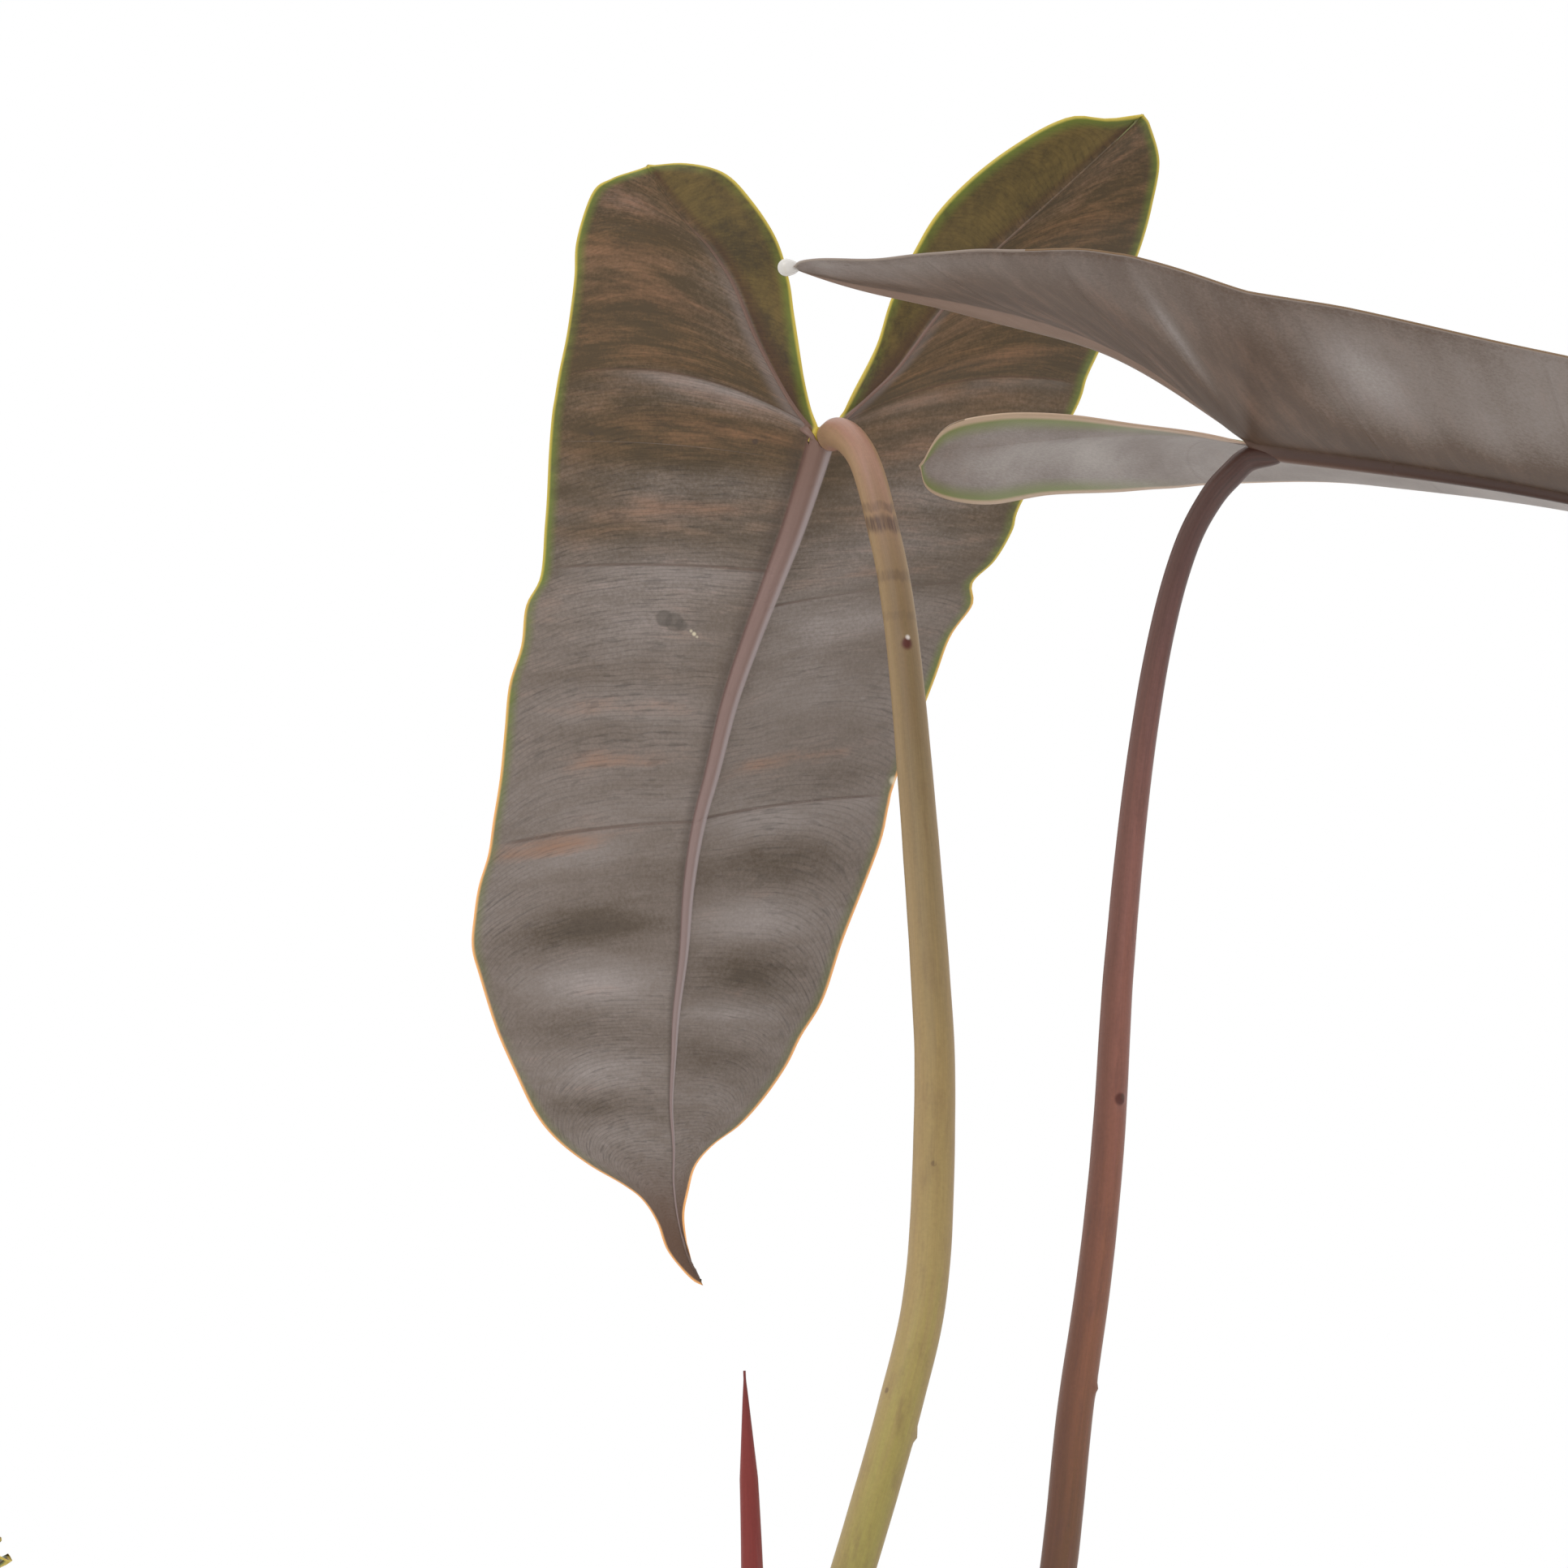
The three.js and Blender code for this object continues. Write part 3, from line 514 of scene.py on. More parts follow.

# %% [markdown]
# ## Light and dark bands between the side veins
#
# Between its side veins a blade is quilted: it swells and sinks, so that soft light and dark
# bands follow the veins. The bands are also painted into its colour as shade and light, some of
# them as a salmon brown of painted light coming through. Each band is a bell over the rows and
# over the width. The leaf in focus has its bands where the picture has them, and the others get
# bands of their own by seeded chance.

# %% The bands: half, row, width in rows, lightness of the painted shade and light, salmon of the painted light coming through, and where across the half it lies
FIRST_BANDS = [
    (-1, 0.965, 0.02, -1.0, 0.1, 0.55), (-1, 1.05, 0.04, 0.5, 0.5, 0.5),
    (-1, 0.985, 0.012, -0.5, 0.35, 0.3), (-1, 0.9, 0.012, 0.1, 0.7, 0.45),
    (-1, 0.875, 0.014, -0.6, 0.0, 0.75), (-1, 0.925, 0.016, 0.15, 0.0, 0.5),
    (-1, 0.825, 0.022, 0.45, 0.1, 0.5), (-1, 0.765, 0.018, 0.25, 0.3, 0.4),
    (-1, 0.725, 0.012, -0.45, 0.0, 0.5), (-1, 0.7, 0.01, 0.2, 0.6, 0.45),
    (-1, 0.675, 0.011, -0.35, 0.0, 0.5), (-1, 0.657, 0.01, 0.1, 0.85, 0.45),
    (-1, 0.632, 0.014, -0.1, 0.0, 0.5), (-1, 0.584, 0.011, 0.1, 1.1, 0.7),
    (-1, 0.571, 0.015, 0.6, 0.0, 0.5), (-1, 0.535, 0.014, 0.1, 0.15, 0.5),
    (-1, 0.5, 0.02, -0.85, 0.0, 0.5), (-1, 0.445, 0.021, 0.85, 0.0, 0.45),
    (-1, 0.395, 0.018, -0.4, 0.0, 0.5), (-1, 0.337, 0.018, 0.65, 0.0, 0.45),
    (-1, 0.295, 0.018, -0.55, 0.2, 0.5), (-1, 1.2, 0.06, -0.7, 0.15, 0.6),
    (-1, 1.36, 0.06, 0.25, 0.6, 0.5), (-1, 1.47, 0.04, 0.1, 0.4, 0.7),
    (-1, 1.53, 0.04, -0.8, 0.0, 0.7), (-1, 1.68, 0.08, 0.8, 0.8, 0.6),
    (-1, 0.78, 0.05, 0.35, 0.0, 0.6), (-1, 0.93, 0.02, 0.3, 0.0, 0.15),
    (1, 0.76, 0.06, 0.4, 0.0, 0.3), (1, 0.92, 0.04, 0.5, 0.0, 0.6),
    (-1, 1.45, 0.2, 0.5, 0.0, 0.12), (1, 0.965, 0.02, 0.1, 0.3, 0.4),
    (1, 0.9, 0.016, -0.4, 0.1, 0.5), (1, 0.86, 0.014, 0.3, 0.2, 0.45),
    (1, 0.82, 0.012, 0.0, 0.35, 0.5), (1, 0.76, 0.018, 0.35, 0.0, 0.5),
    (1, 0.735, 0.012, -0.2, 0.0, 0.6), (1, 0.69, 0.016, 0.3, 0.0, 0.5),
    (1, 0.641, 0.01, 0.0, 0.7, 0.35), (1, 0.62, 0.012, -0.25, 0.0, 0.6),
    (1, 0.58, 0.016, 0.6, 0.0, 0.45), (1, 0.547, 0.02, -0.9, 0.0, 0.5),
    (1, 0.5, 0.018, 0.95, 0.0, 0.45), (1, 0.452, 0.021, -0.95, 0.0, 0.45),
    (1, 0.41, 0.014, 0.7, 0.0, 0.4), (1, 0.35, 0.02, -0.55, 0.0, 0.5),
    (1, 0.3, 0.016, 0.3, 0.1, 0.4), (1, 1.04, 0.03, 0.3, 0.3, 0.5),
    (1, 1.2, 0.06, -0.6, 0.3, 0.6), (1, 1.4, 0.07, 0.3, 0.4, 0.5),
    (1, 1.62, 0.07, -0.5, 0.2, 0.6), (1, 1.82, 0.06, 0.2, 0.3, 0.6),
    (1, 0.8, 0.12, 0.4, 0.0, 0.35), (-1, 0.7, 0.1, 0.2, 0.0, 0.5),
    (-1, 1.07, 0.018, 0.6, 0.0, 0.3), (-1, 1.16, 0.03, -0.7, 0.0, 0.45),
]
# The nearer leaf has a crease that runs from its joint over the near half, with a painted highlight
# along it.
SECOND_BANDS = [
    (1, 0.945, 0.036, -1.0, 0.1, 0.5), (1, 1.0, 0.012, 1.3, 0.0, 0.5),
    (1, 1.1, 0.035, -0.6, 0.3, 0.3), (1, 1.4, 0.12, -0.4, 0.3, 0.2),
    (1, 1.7, 0.25, 0.9, 0.0, 0.8), (1, 0.86, 0.03, 0.9, 0.0, 0.6),
    (1, 0.76, 0.05, 0.6, 0.0, 0.45), (1, 0.6, 0.04, -0.2, 0.0, 0.5), (1, 0.45, 0.06, 0.4, 0.0, 0.5),
    (-1, 1.5, 0.22, 0.8, 0.0, 0.4), (-1, 1.12, 0.08, 0.3, 0.0, 0.5), (-1, 0.8, 0.1, 0.3, 0.0, 0.5),
]
# Primary side veins, by half and row.
FIRST_VEINS = [
    (-1, 0.594), (-1, 0.838), (-1, 1.09), (1, 0.597), (1, 0.797), (1, 1.08),
]


def chance_bands(leaf):
    draw = Random(31 * leaf["number"])
    bands = []
    for side in (-1, 1):
        row = 0.2
        sign = draw.choice((-1, 1))
        while row < 1.9:
            width = draw.uniform(0.012, 0.022) * (2.2 if row > 1 else 1)
            blush = max(draw.uniform(-0.7, 0.8), 0)
            bands.append((side, row, width, sign * draw.uniform(0.3, 0.9), blush, 0.5))
            row += width * draw.uniform(2, 2.8)
            sign = -sign
    return bands


def chance_veins(leaf):
    draw = Random(7 + leaf["number"])
    rows = (0.26, 0.42, 0.58, 0.74, 0.9, 1.12, 1.45)
    return [(side, row + draw.uniform(-0.03, 0.03)) for side in (-1, 1) for row in rows]


given = {1: FIRST_BANDS, 2: SECOND_BANDS}
for leaf in leaves:
    leaf["bands"] = given.get(leaf["number"]) or chance_bands(leaf)
    leaf["veins"] = FIRST_VEINS if leaf["number"] == 1 else chance_veins(leaf)
print("Bands a leaf:", [len(leaf["bands"]) for leaf in leaves])

# %% [markdown]
# ## Laying the grid on the leaf
#
# For each row we find where it starts on the midrib or lobe nerve and where it meets the margin.
# A point between them gets its height from the leaf's habit: an arch along the midrib, a fold of
# each half, a ripple at the margin, and the quilting. With its place, each point notes what the
# finish needs to know: its row, how far across it is, how far it is from the margin and from
# the middle of the nearest nerve, and which bands it lies in.

# %% Height over the flat outline, in millimetres
FOLD_SOFTNESS = 4
HUMP_REACH = 20
# The margin ripples as a sine of the row. It turns by this many radians from row 0 to row 1,
# and the right half is ahead of the left one.
RIPPLE_TURN = 17
RIPPLE_LEAD = 2.1
QUILT = 0.8
# About how long a lobe is along its nerve.
LOBE_RUN = 75


def middle_at(leaf, b):
    if b <= 0:
        return -leaf["lean"] * b
    ribs = leaf["midrib"]
    for k in range(len(ribs) - 2, -1, -1):
        if ribs[k].y >= b:
            return mix(ribs[k].x, ribs[k + 1].x, (b - ribs[k].y) / (ribs[k + 1].y - ribs[k].y))
    return ribs[0].x


def height_over(leaf, a, b, row, share):
    middle = middle_at(leaf, b)
    side = 1 if a > middle else 0
    along = b / leaf["length"]
    fold = mix(leaf["fold"][side], leaf["lobe_fold"][side], ease(0.06, -0.45, along))
    soft = math.hypot(a - middle, FOLD_SOFTNESS) - FOLD_SOFTNESS
    if along > 0:
        bent = -leaf["arch"] * along ** leaf["arch_power"]
    else:
        bent = leaf["lift"] * along * along
    away = abs(a - middle)
    risen = max(0.2 * away - b, 0) / (HUMP_REACH + 0.3 * away)
    hump = leaf["hump"][side] * (1 - math.exp(-(risen ** 1.4)))
    wave = leaf["ripple"] * math.sin(row * RIPPLE_TURN + leaf["phase"] + RIPPLE_LEAD * side)
    return leaf["tilt"] * b + bent * leaf["length"] + hump + fold * soft + wave * share * share


def quilting(leaf, side, row, share):
    """The bands at a point: how far it swells, its painted shade and light, and its painted salmon
    light.
    """
    tone = 0
    blush = 0
    for half, middle, width, light, flush, across in leaf["bands"]:
        if half == side and abs(row - middle) < 3 * width:
            amount = bell(row, middle, width) * bell(share, across, 0.36)
            tone += light * amount
            blush += flush * amount
    return tone, blush


def past_vein(leaf, side, row):
    """How far a row lies past the nearest primary vein of its half, in mm along the midrib."""
    length = leaf["length"] if row < 1 else LOBE_RUN
    return min(((row - at) * length for half, at in leaf["veins"] if half == side), key=abs)


print("Quilting swells by", QUILT, "mm")

# %% Rows of a half: from nerve to margin, and from nerve to the notch
# The midrib's width from tip to joint, as a share of its width at the joint.
RIB_TAPER = (0.05, 0.06, 0.08, 0.14, 0.26, 0.38, 0.5, 0.62, 0.74, 0.88, 1)


def rib_half_width(leaf, row):
    """Half the width of the midrib or lobe nerve, in mm."""
    if row > 1:
        return leaf["rib"] * (mix(0.2, 0.07, row - 1) + 0.78 * ease(1.07, 1, row))
    k = min(int(row * 10), 9)
    return leaf["rib"] * mix(RIB_TAPER[k], RIB_TAPER[k + 1], row * 10 - k)


def half_rows(leaf, side):
    """For each row from the tip to the lobe's end: its root, its margin and its notch point."""
    half = leaf["halves"][side]
    main, lobe = leaf["rows"]
    found = []
    for k in range(main + lobe + 1):
        row = k / main if k <= main else 1 + (k - main) / lobe
        if row <= 1:
            root = on_curve(leaf["midrib"], row * (len(leaf["midrib"]) - 1))
            notch = root
        else:
            root = on_curve(half["nerve"], (row - 1) * (len(half["nerve"]) - 1))
            notch = on_curve(half["notch"], keyed(half["notch_rows"], row))
        margin = on_curve(half["margin"], keyed(half["margin_rows"], row))
        if leaf["number"] > 1:
            rough = noise.noise(Vector((row * 9, side * 3.1, leaf["number"] * 1.7)))
            margin = root + (margin - root) * (1 + 0.016 * rough * ease(0, 0.15, row))
        found.append((row, root, margin, notch))
    return found


print("The first midrib is", round(2 * rib_half_width(leaves[0], 0.9), 1), "mm wide near its joint")


# %% Lay a grid on the leaf, and note at each point what the finish needs
# How far the side veins bow away from the tip, as a share of their length, and more on a lobe.
VEIN_BOW = 0.1
LOBE_BOW = 0.3
# The share of a grid's columns that lies on the nerve, so that its round section has enough.
NERVE_COLUMNS = 0.3
NOTES = ("row", "share", "notch", "rim", "rib", "tone", "blush", "run", "vein")


def flat_grid(columns, rows):
    """A flat square of one metre, cut into a number of columns and rows."""
    bpy.ops.mesh.primitive_grid_add(
        x_subdivisions=columns, y_subdivisions=rows, size=1, calc_uvs=False)
    return bpy.context.object


def write_notes(piece, notes):
    """Gives each point of a mesh its numbers, from a list for each name."""
    for name, values in notes.items():
        layer = piece.data.attributes.new(name, "FLOAT", "POINT")
        layer.data.foreach_set("value", values)


def lay_strip(leaf, side, rows, columns, to_notch):
    """One grid by operator, each of its points laid on the leaf. Returns the object."""
    strip = flat_grid(columns, len(rows) - 1)
    joint, across, along, up = leaf["frame"]
    notes = {name: [] for name in NOTES}
    flip = (side < 0) != to_notch
    for vertex in strip.data.vertices:
        k = round((0.5 - vertex.co.y) * (len(rows) - 1))
        t = 0.5 - vertex.co.x if flip else vertex.co.x + 0.5
        row, root, margin, notch = rows[k]
        end = notch if to_notch else margin
        width = (end - root).length
        before = rows[max(k - 1, 0)][1]
        after = rows[min(k + 1, len(rows) - 1)][1]
        run = (after - before).normalized()
        square = abs((end - root).cross(run))
        half_width = rib_half_width(leaf, row)
        foot = min(1.5 * half_width / max(square, 0.01), 0.5)
        if t < NERVE_COLUMNS:
            share = t / NERVE_COLUMNS * foot
        else:
            share = foot + (t - NERVE_COLUMNS) / (1 - NERVE_COLUMNS) * (1 - foot)
        spot = root.lerp(end, share)
        if not to_notch:
            bow = VEIN_BOW + LOBE_BOW * ease(0.94, 1.1, row) * ease(1.9, 1.4, row)
            spot.y -= bow * share * (1 - share) * width
        tone, blush = (0, 0) if to_notch else quilting(leaf, side, row, share)
        rise = height_over(leaf, spot.x, spot.y, row, share) + QUILT * tone * ease(0, 0.2, share)
        vertex.co = (joint + across * spot.x + along * spot.y + up * rise) * MM
        notes["row"].append(row)
        notes["share"].append(side * share)
        notes["notch"].append(share if to_notch else 0)
        notes["rim"].append((1 - share) * width)
        notes["rib"].append(share * square / half_width)
        notes["tone"].append(tone)
        notes["blush"].append(blush)
        notes["run"].append(min(row, 1) * leaf["length"] + max(row - 1, 0) * LOBE_RUN)
        notes["vein"].append(past_vein(leaf, side, row))
    write_notes(strip, notes)
    return strip


print("Each point notes", ", ".join(NOTES))

# %% Small steps that are taken again and again
def alone(*pieces):
    """Selects just these objects, the first of them active."""
    bpy.ops.object.select_all(action="DESELECT")
    for piece in pieces:
        piece.select_set(True)
    bpy.context.view_layer.objects.active = pieces[0]


def weld(gap=0.00001):
    """Merges points of the active mesh that lie together."""
    bpy.ops.object.mode_set(mode="EDIT")
    bpy.ops.mesh.select_all(action="SELECT")
    bpy.ops.mesh.remove_doubles(threshold=gap)
    bpy.ops.mesh.dissolve_degenerate(threshold=gap / 10)
    bpy.ops.object.mode_set(mode="OBJECT")


def face_outwards():
    """Turns all faces of the active mesh outwards."""
    bpy.ops.object.mode_set(mode="EDIT")
    bpy.ops.mesh.select_all(action="SELECT")
    bpy.ops.mesh.normals_make_consistent(inside=False)
    bpy.ops.object.mode_set(mode="OBJECT")


def apply_modifier(piece, kind, **settings):
    modifier = piece.modifiers.new(kind.lower(), kind)
    for name, value in settings.items():
        setattr(modifier, name, value)
    alone(piece)
    bpy.ops.object.modifier_apply(modifier=modifier.name)


print("Points closer than 0.01 mm are welded")


# %% Join the grids, then give the sheet its thickness and its raised nerves
THICKNESS = 0.8


def raised(rib):
    """The rounded section of a nerve, from 1 in its middle to 0 at its edge."""
    return max(1 - rib * rib, 0) ** 0.8


def grow_blade(leaf):
    strips = []
    main = leaf["rows"][0]
    for side in (-1, 1):
        rows = half_rows(leaf, side)
        strips.append(lay_strip(leaf, side, rows, leaf["columns"], False))
        strips.append(lay_strip(leaf, side, rows[main:], leaf["columns"] // 2, True))
    alone(*strips)
    bpy.ops.object.join()
    weld()
    sheet = bpy.context.object
    count = len(sheet.data.vertices)
    apply_modifier(sheet, "SOLIDIFY", thickness=THICKNESS * MM, offset=0)
    mesh = sheet.data
    up = leaf["frame"][3]
    note = {name: mesh.attributes[name].data for name in ("rib", "rim", "row")}
    for k in range(count):
        one, two = mesh.vertices[k], mesh.vertices[k + count]
        over, under = (one, two) if (one.co - two.co).dot(up) > 0 else (two, one)
        middle = (over.co + under.co) / 2
        half = (over.co - under.co) / 2
        half *= 0.45 + 0.55 * ease(0, 3, note["rim"][k].value)
        rise = half.normalized()
        row = note["row"][k].value
        swell = raised(note["rib"][k].value) * rib_half_width(leaf, row) * MM
        if leaf["smooth_lobe"]:
            swell *= ease(1.02, 0.98, row)
        over.co = middle + half - rise * 0.12 * swell
        under.co = middle - half - rise * 1.05 * swell
    for face in mesh.polygons:
        face.material_index = 0 if face.normal.dot(up) > 0.25 else 1
    alone(sheet)
    bpy.ops.object.shade_smooth()
    sheet.name = f"leaf_blade_{leaf['number']}"
    return sheet


blades = [grow_blade(leaf) for leaf in leaves]
print("Blade faces:", [len(blade.data.polygons) for blade in blades])

# %% [markdown]
# ## The underside of a blade
#
# Seen from below against the light, the blade is a warm grey skin with a satin haze, browner
# towards its lobes. What makes it read as a leaf is all in its layers: soft bands along the
# veins, painted in as shade and light, hair-fine veinlets less than a millimetre apart, a few
# primary veins with painted shade and highlights, a mauve midrib with one flank painted as a
# highlight, green painted where the thin margin lets light through, and a hairline of orange
# painted light right at the edge. Each layer is one short function on what the points noted. The
# glow at the edge is painted, as a thin leaf's margin is lit from behind.


# %% What the finishes of both faces read at a point
def read_blade(wire):
    """The notes of a blade's points as wires, and where the point is."""
    at = SimpleNamespace(**{name: mark(wire, name) for name in NOTES})
    at.across = abs(at.share)
    at.point = object_point(wire)
    return at


def veinlets(at):
    """Hair-fine veinlets, 0 to 1, which turn towards the tip near the margin."""
    wander = cloud(at.point, 60.0, 2.0)
    away = at.share * at.share
    turned = at.run + away * away * (step(at.row, 0.65, 0.2) * 11 + 5)
    wave = turned.math("SINE", (turned + wander * 2.6) * (2 * math.pi / VEINLET_GAP))
    strokes = cloud(place(at.share * 9.0, turned * 1.3, 9.0), 1.0, 2.0)
    return step(wave, 0.35, 1.0) * 0.5 + step(strokes, 0.52, 0.66) * 0.7


VEINLET_GAP = 0.8
print("Veinlets are", VEINLET_GAP, "mm apart")


# %% The underside from the ground up: its ground and the strip beside the notch
def ground_color(at, look):
    """Grey with painted band shade and light, earth brown by the lobes, painted salmon where light
    comes through.
    """
    # at.tone paints the quilting's shade and light into the grey.
    level = at.tone * look["swell"] + (at.bands - 0.5) * 0.5 + (at.streaks - 0.5) * look["streak"]
    level = level + (at.blotch - 0.5) * 0.4 + (at.grain - 0.5) * 0.42 + 0.5
    if look["sided"]:
        lobe = step(at.row, 0.9, 1.1) * step(at.row, 1.75, 1.3)
        # On the nearer leaf: painted shade near the midrib of the near half, painted light over the
        # far half.
        inner = step(at.across, 0.45, 0.0) * 0.4 + step(at.across, 0.9, 0.15) * lobe * 0.5
        level = level - (inner + 0.06) * (1 - at.far) + at.far * 0.18
    else:
        level = level + step(at.row, 1.05, 0.9) * 0.05 - step(at.row, 1.0, 1.15) * 0.1
    color = color_ramp(level, look["ramp"])
    warm = step(at.row, 0.6, 1.0) * step(level, 1.15, 0.35) * look["warmth"]
    earth = step(at.streaks + at.bands * 0.4 + at.grain * 0.5, 0.75, 1.25)
    color = blend(warm, color, between(earth, *look["warm"]))
    # The salmon flush is painted light coming through the blade.
    flush = at.blush * 0.7 + (at.streaks - 0.5) * 1.3 + (at.bands - 0.5) * 0.8 + warm * 0.2
    flush = step(flush + (at.grain - 0.5) * 0.5, 0.1, 1.1)
    return stain(color, flush * 0.72, look["flush"])


def notch_color(at, look, color):
    """The strip between a lobe's nerve and the notch is olive, with painted shade in the crease
    along the nerve.
    """
    olive = step(at.bands + at.streaks + at.blotch * 0.4 + at.grain * 0.5, 0.95, 1.8)
    color = blend(at.folded * 0.92, color, between(olive, *look["notch"]))
    if look["sided"]:
        return color
    # Painted shade in the crease where the strip folds along the nerve.
    return stain(color, step(at.rib, 11.0, 1.5) * at.folded * 0.75, "4C2A1A")


print("The ground and the notch are the first two layers")


# %% Its veins and its margin
def vein_color(at, look, color):
    """A painted highlight along each lobe's nerve, dark primary veins with painted shade and a
    painted highlight on one side, and veinlets.
    """
    flat = 1 - at.folded
    # A painted highlight on the ridge beside each lobe's nerve.
    ridge_highlight = step(at.across, 0.13, 0.03) * step(at.row, 1.0, 1.08) * step(at.row, 1.8, 1.2) * flat
    color = stain(color, ridge_highlight * look["veins"] * 0.5, "9C8C88")
    outer = step(at.rim, 1.0, 7.0) * flat
    # A painted highlight on one side of each primary vein.
    vein_highlight = step(at.vein, -5.5, -1.0) * step(at.vein, 0.2, -0.8) * outer
    vein_highlight = vein_highlight * step(at.bands + at.blotch, 0.85, 1.2)
    color = stain(color, vein_highlight * look["veins"] * 0.3, "A79C98")
    # The dark line of each primary vein: the vein's own colour with painted shade along it.
    at.line = step(abs(at.vein), 0.42, 0.12) * outer * step(at.grain + at.bands, 0.7, 1.1)
    color = stain(color, at.line * look["veins"] * 0.5, "5A3E30")
    return shade(color, 1 - at.hairs * look["veins"] * 0.33)


def margin_color(at, look, color):
    """Painted light through the margin: green within it and the lit hairline, which is noted for the
    glow; and a brown tip.
    """
    at.edge = step(at.rim, look["edge_width"], 0.12)
    if look["sided"]:
        green = step(at.rim, 10.0, 2.0) * step(at.row, 1.1, 1.5) * at.far * 0.85
        turned = at.far
        at.edge = at.edge * (1 - at.far) + step(at.rim, 3.0, 1.2) * at.far
    else:
        thin = step(at.row, 0.1, 0.3) * step(at.blotch + at.streaks * 0.5, 0.45, 0.85)
        green = step(at.rim, 3.0, 0.3) * (step(at.row, 0.5, 0.75) * 0.5 + 0.4) * thin
        turned = step(at.row + (at.blotch - 0.5) * 0.6, 0.6, 0.85)
    # Green painted where light comes through the thin margin.
    color = stain(color, green, look["green"])
    color = stain(color, step(at.row, 0.25, 0.07) * 0.85, "60402A")
    at.lit = between(turned, *look["edge"])
    return blend(at.edge * 0.9, color, at.lit)


print("Veins and margin lie over them")


# %% Its midrib, and specks of dirt over all
def midrib_color(at, look, color):
    """The midrib and lobe nerves: fibrous, browner by the joint, with a painted highlight on one
    flank, painted shade on the other, and a painted shadow beside it.
    """
    within = step(at.rib, 1.1, 0.85) * step(at.rim, 0.3, 1.2)
    at.nerve = within * step(at.row, 1.95, 1.35) * step(at.row, 0.02, 0.14)
    shadow = step(at.rib, 2.6, 1.05) * step(at.share, 0.02, -0.02) * step(at.row, 1.05, 0.95)
    color = stain(color, shadow * (1 - at.nerve) * 0.45, "4A3C33")
    brown, mauve, pale, young = look["nerve"]
    fibre = cloud(place(at.rib * 2.0, at.run * 0.04, 0.0), 2.0, 3.0)
    nerve_color = between(fibre, brown, mauve)
    nerve_color = stain(nerve_color, step(at.row, 0.8, 0.35) * 0.7, young)
    nerve_color = stain(nerve_color, step(at.row, 0.8, 1.0) * 0.7, "7A5B4C")
    flank = at.rib * at.share.math("SIGN", at.share)
    below_joint = step(at.row, 1.02, 0.97)
    # A painted highlight on one flank and painted shade on the other.
    nerve_color = stain(nerve_color, step(flank, 0.2, 0.75) * below_joint * 0.8, pale)
    nerve_color = stain(nerve_color, step(flank, -0.6, -0.98) * below_joint * 0.7, "5E443E")
    if look["sided"]:
        at.nerve = at.nerve * step(at.row, 1.02, 0.98)
    return blend(at.nerve, color, nerve_color)


def speck_color(at, color):
    """Dark specks, in patches."""
    cell = at.point.node("TexVoronoi", None, {"Vector": at.point, "Scale": 95.0})
    return stain(color, step(cell, 0.075, 0.035) * step(at.blotch, 0.48, 0.6) * 0.75, "43352C")


print("Midrib and specks make six layers")


# %% The underside as a whole
def underside(name, look, damp=(), scars_and_glints=()):
    """damp and scars are spots in space, each with an inner and an outer radius, in mm; among the
    pale scars is a painted glint.
    """
    material, shader, wire = new_finish(name)
    at = read_blade(wire)
    at.bands = cloud(place(at.share * 1.3, at.run * 0.09, 0.0), 1.0, 3.0)
    at.streaks = cloud(place(at.share * 4.0, at.run * 0.45, 3.0), 1.0, 4.0, 0.6)
    at.blotch = cloud(at.point, 26.0, 3.0)
    at.grain = cloud(at.point, 1500.0, 3.0, 0.7)
    at.hairs = veinlets(at) * step(at.streaks + at.blotch, 0.7, 1.2)
    at.folded = step(at.notch, 0.03, 0.15)
    if look["sided"]:
        at.far = step(at.share, 0.002, -0.002)
        at.folded = at.folded * (1 - at.far)

    color = ground_color(at, look)
    for layer in (notch_color, vein_color, margin_color, midrib_color):
        color = layer(at, look, color)
    color = speck_color(at, color)
    gloss = 0.42 + at.grain * 0.16 - at.nerve * 0.08
    for spot, inner, outer in damp:
        wet = near(wire, spot * MM, inner * MM, outer * MM)
        color = stain(color, wet * 0.55, "564E46")
        gloss = gloss - wet * 0.1
    # Pale scars, and a painted glint in the same pale colour.
    for spot, inner, outer in scars_and_glints:
        color = stain(color, near(wire, spot * MM, inner * MM, outer * MM), "D9CDB2")

    skin = 0.5 - at.hairs * 0.3 + at.grain * 0.25 + at.streaks * 0.5 - at.line * 1.2
    feed(shader, base_color=color, roughness=gloss, normal=relief(skin, 0.0001, 0.6))
    # The lit hairline also glows: painted light, given as emission.
    glow = blend(at.edge, paint("000000"), at.lit)
    feed(shader, emission_color=glow, emission_strength=look["glow"])
    return material


# In a look, swell is how strongly the bands' shade and light are painted in, the margin's green and
# edge colours and the flush colour are painted light coming through, and the third nerve colour is
# the painted highlight on the midrib's flank.
GREY = {
    "ramp": ("483C30", "615346", "80736A", "958A84", "ABA09C"), "swell": 0.36, "streak": 0.35,
    "warm": ("524027", "6C5332"), "warmth": 1.0, "flush": "A97857", "notch": ("40331A", "75602D"),
    "green": "6F7F2C", "edge": ("E8A868", "BCA646"), "edge_width": 0.8, "glow": 0.4,
    "nerve": ("856A62", "967B74", "BDAFB0", "9C8A88"), "veins": 1, "sided": False,
}
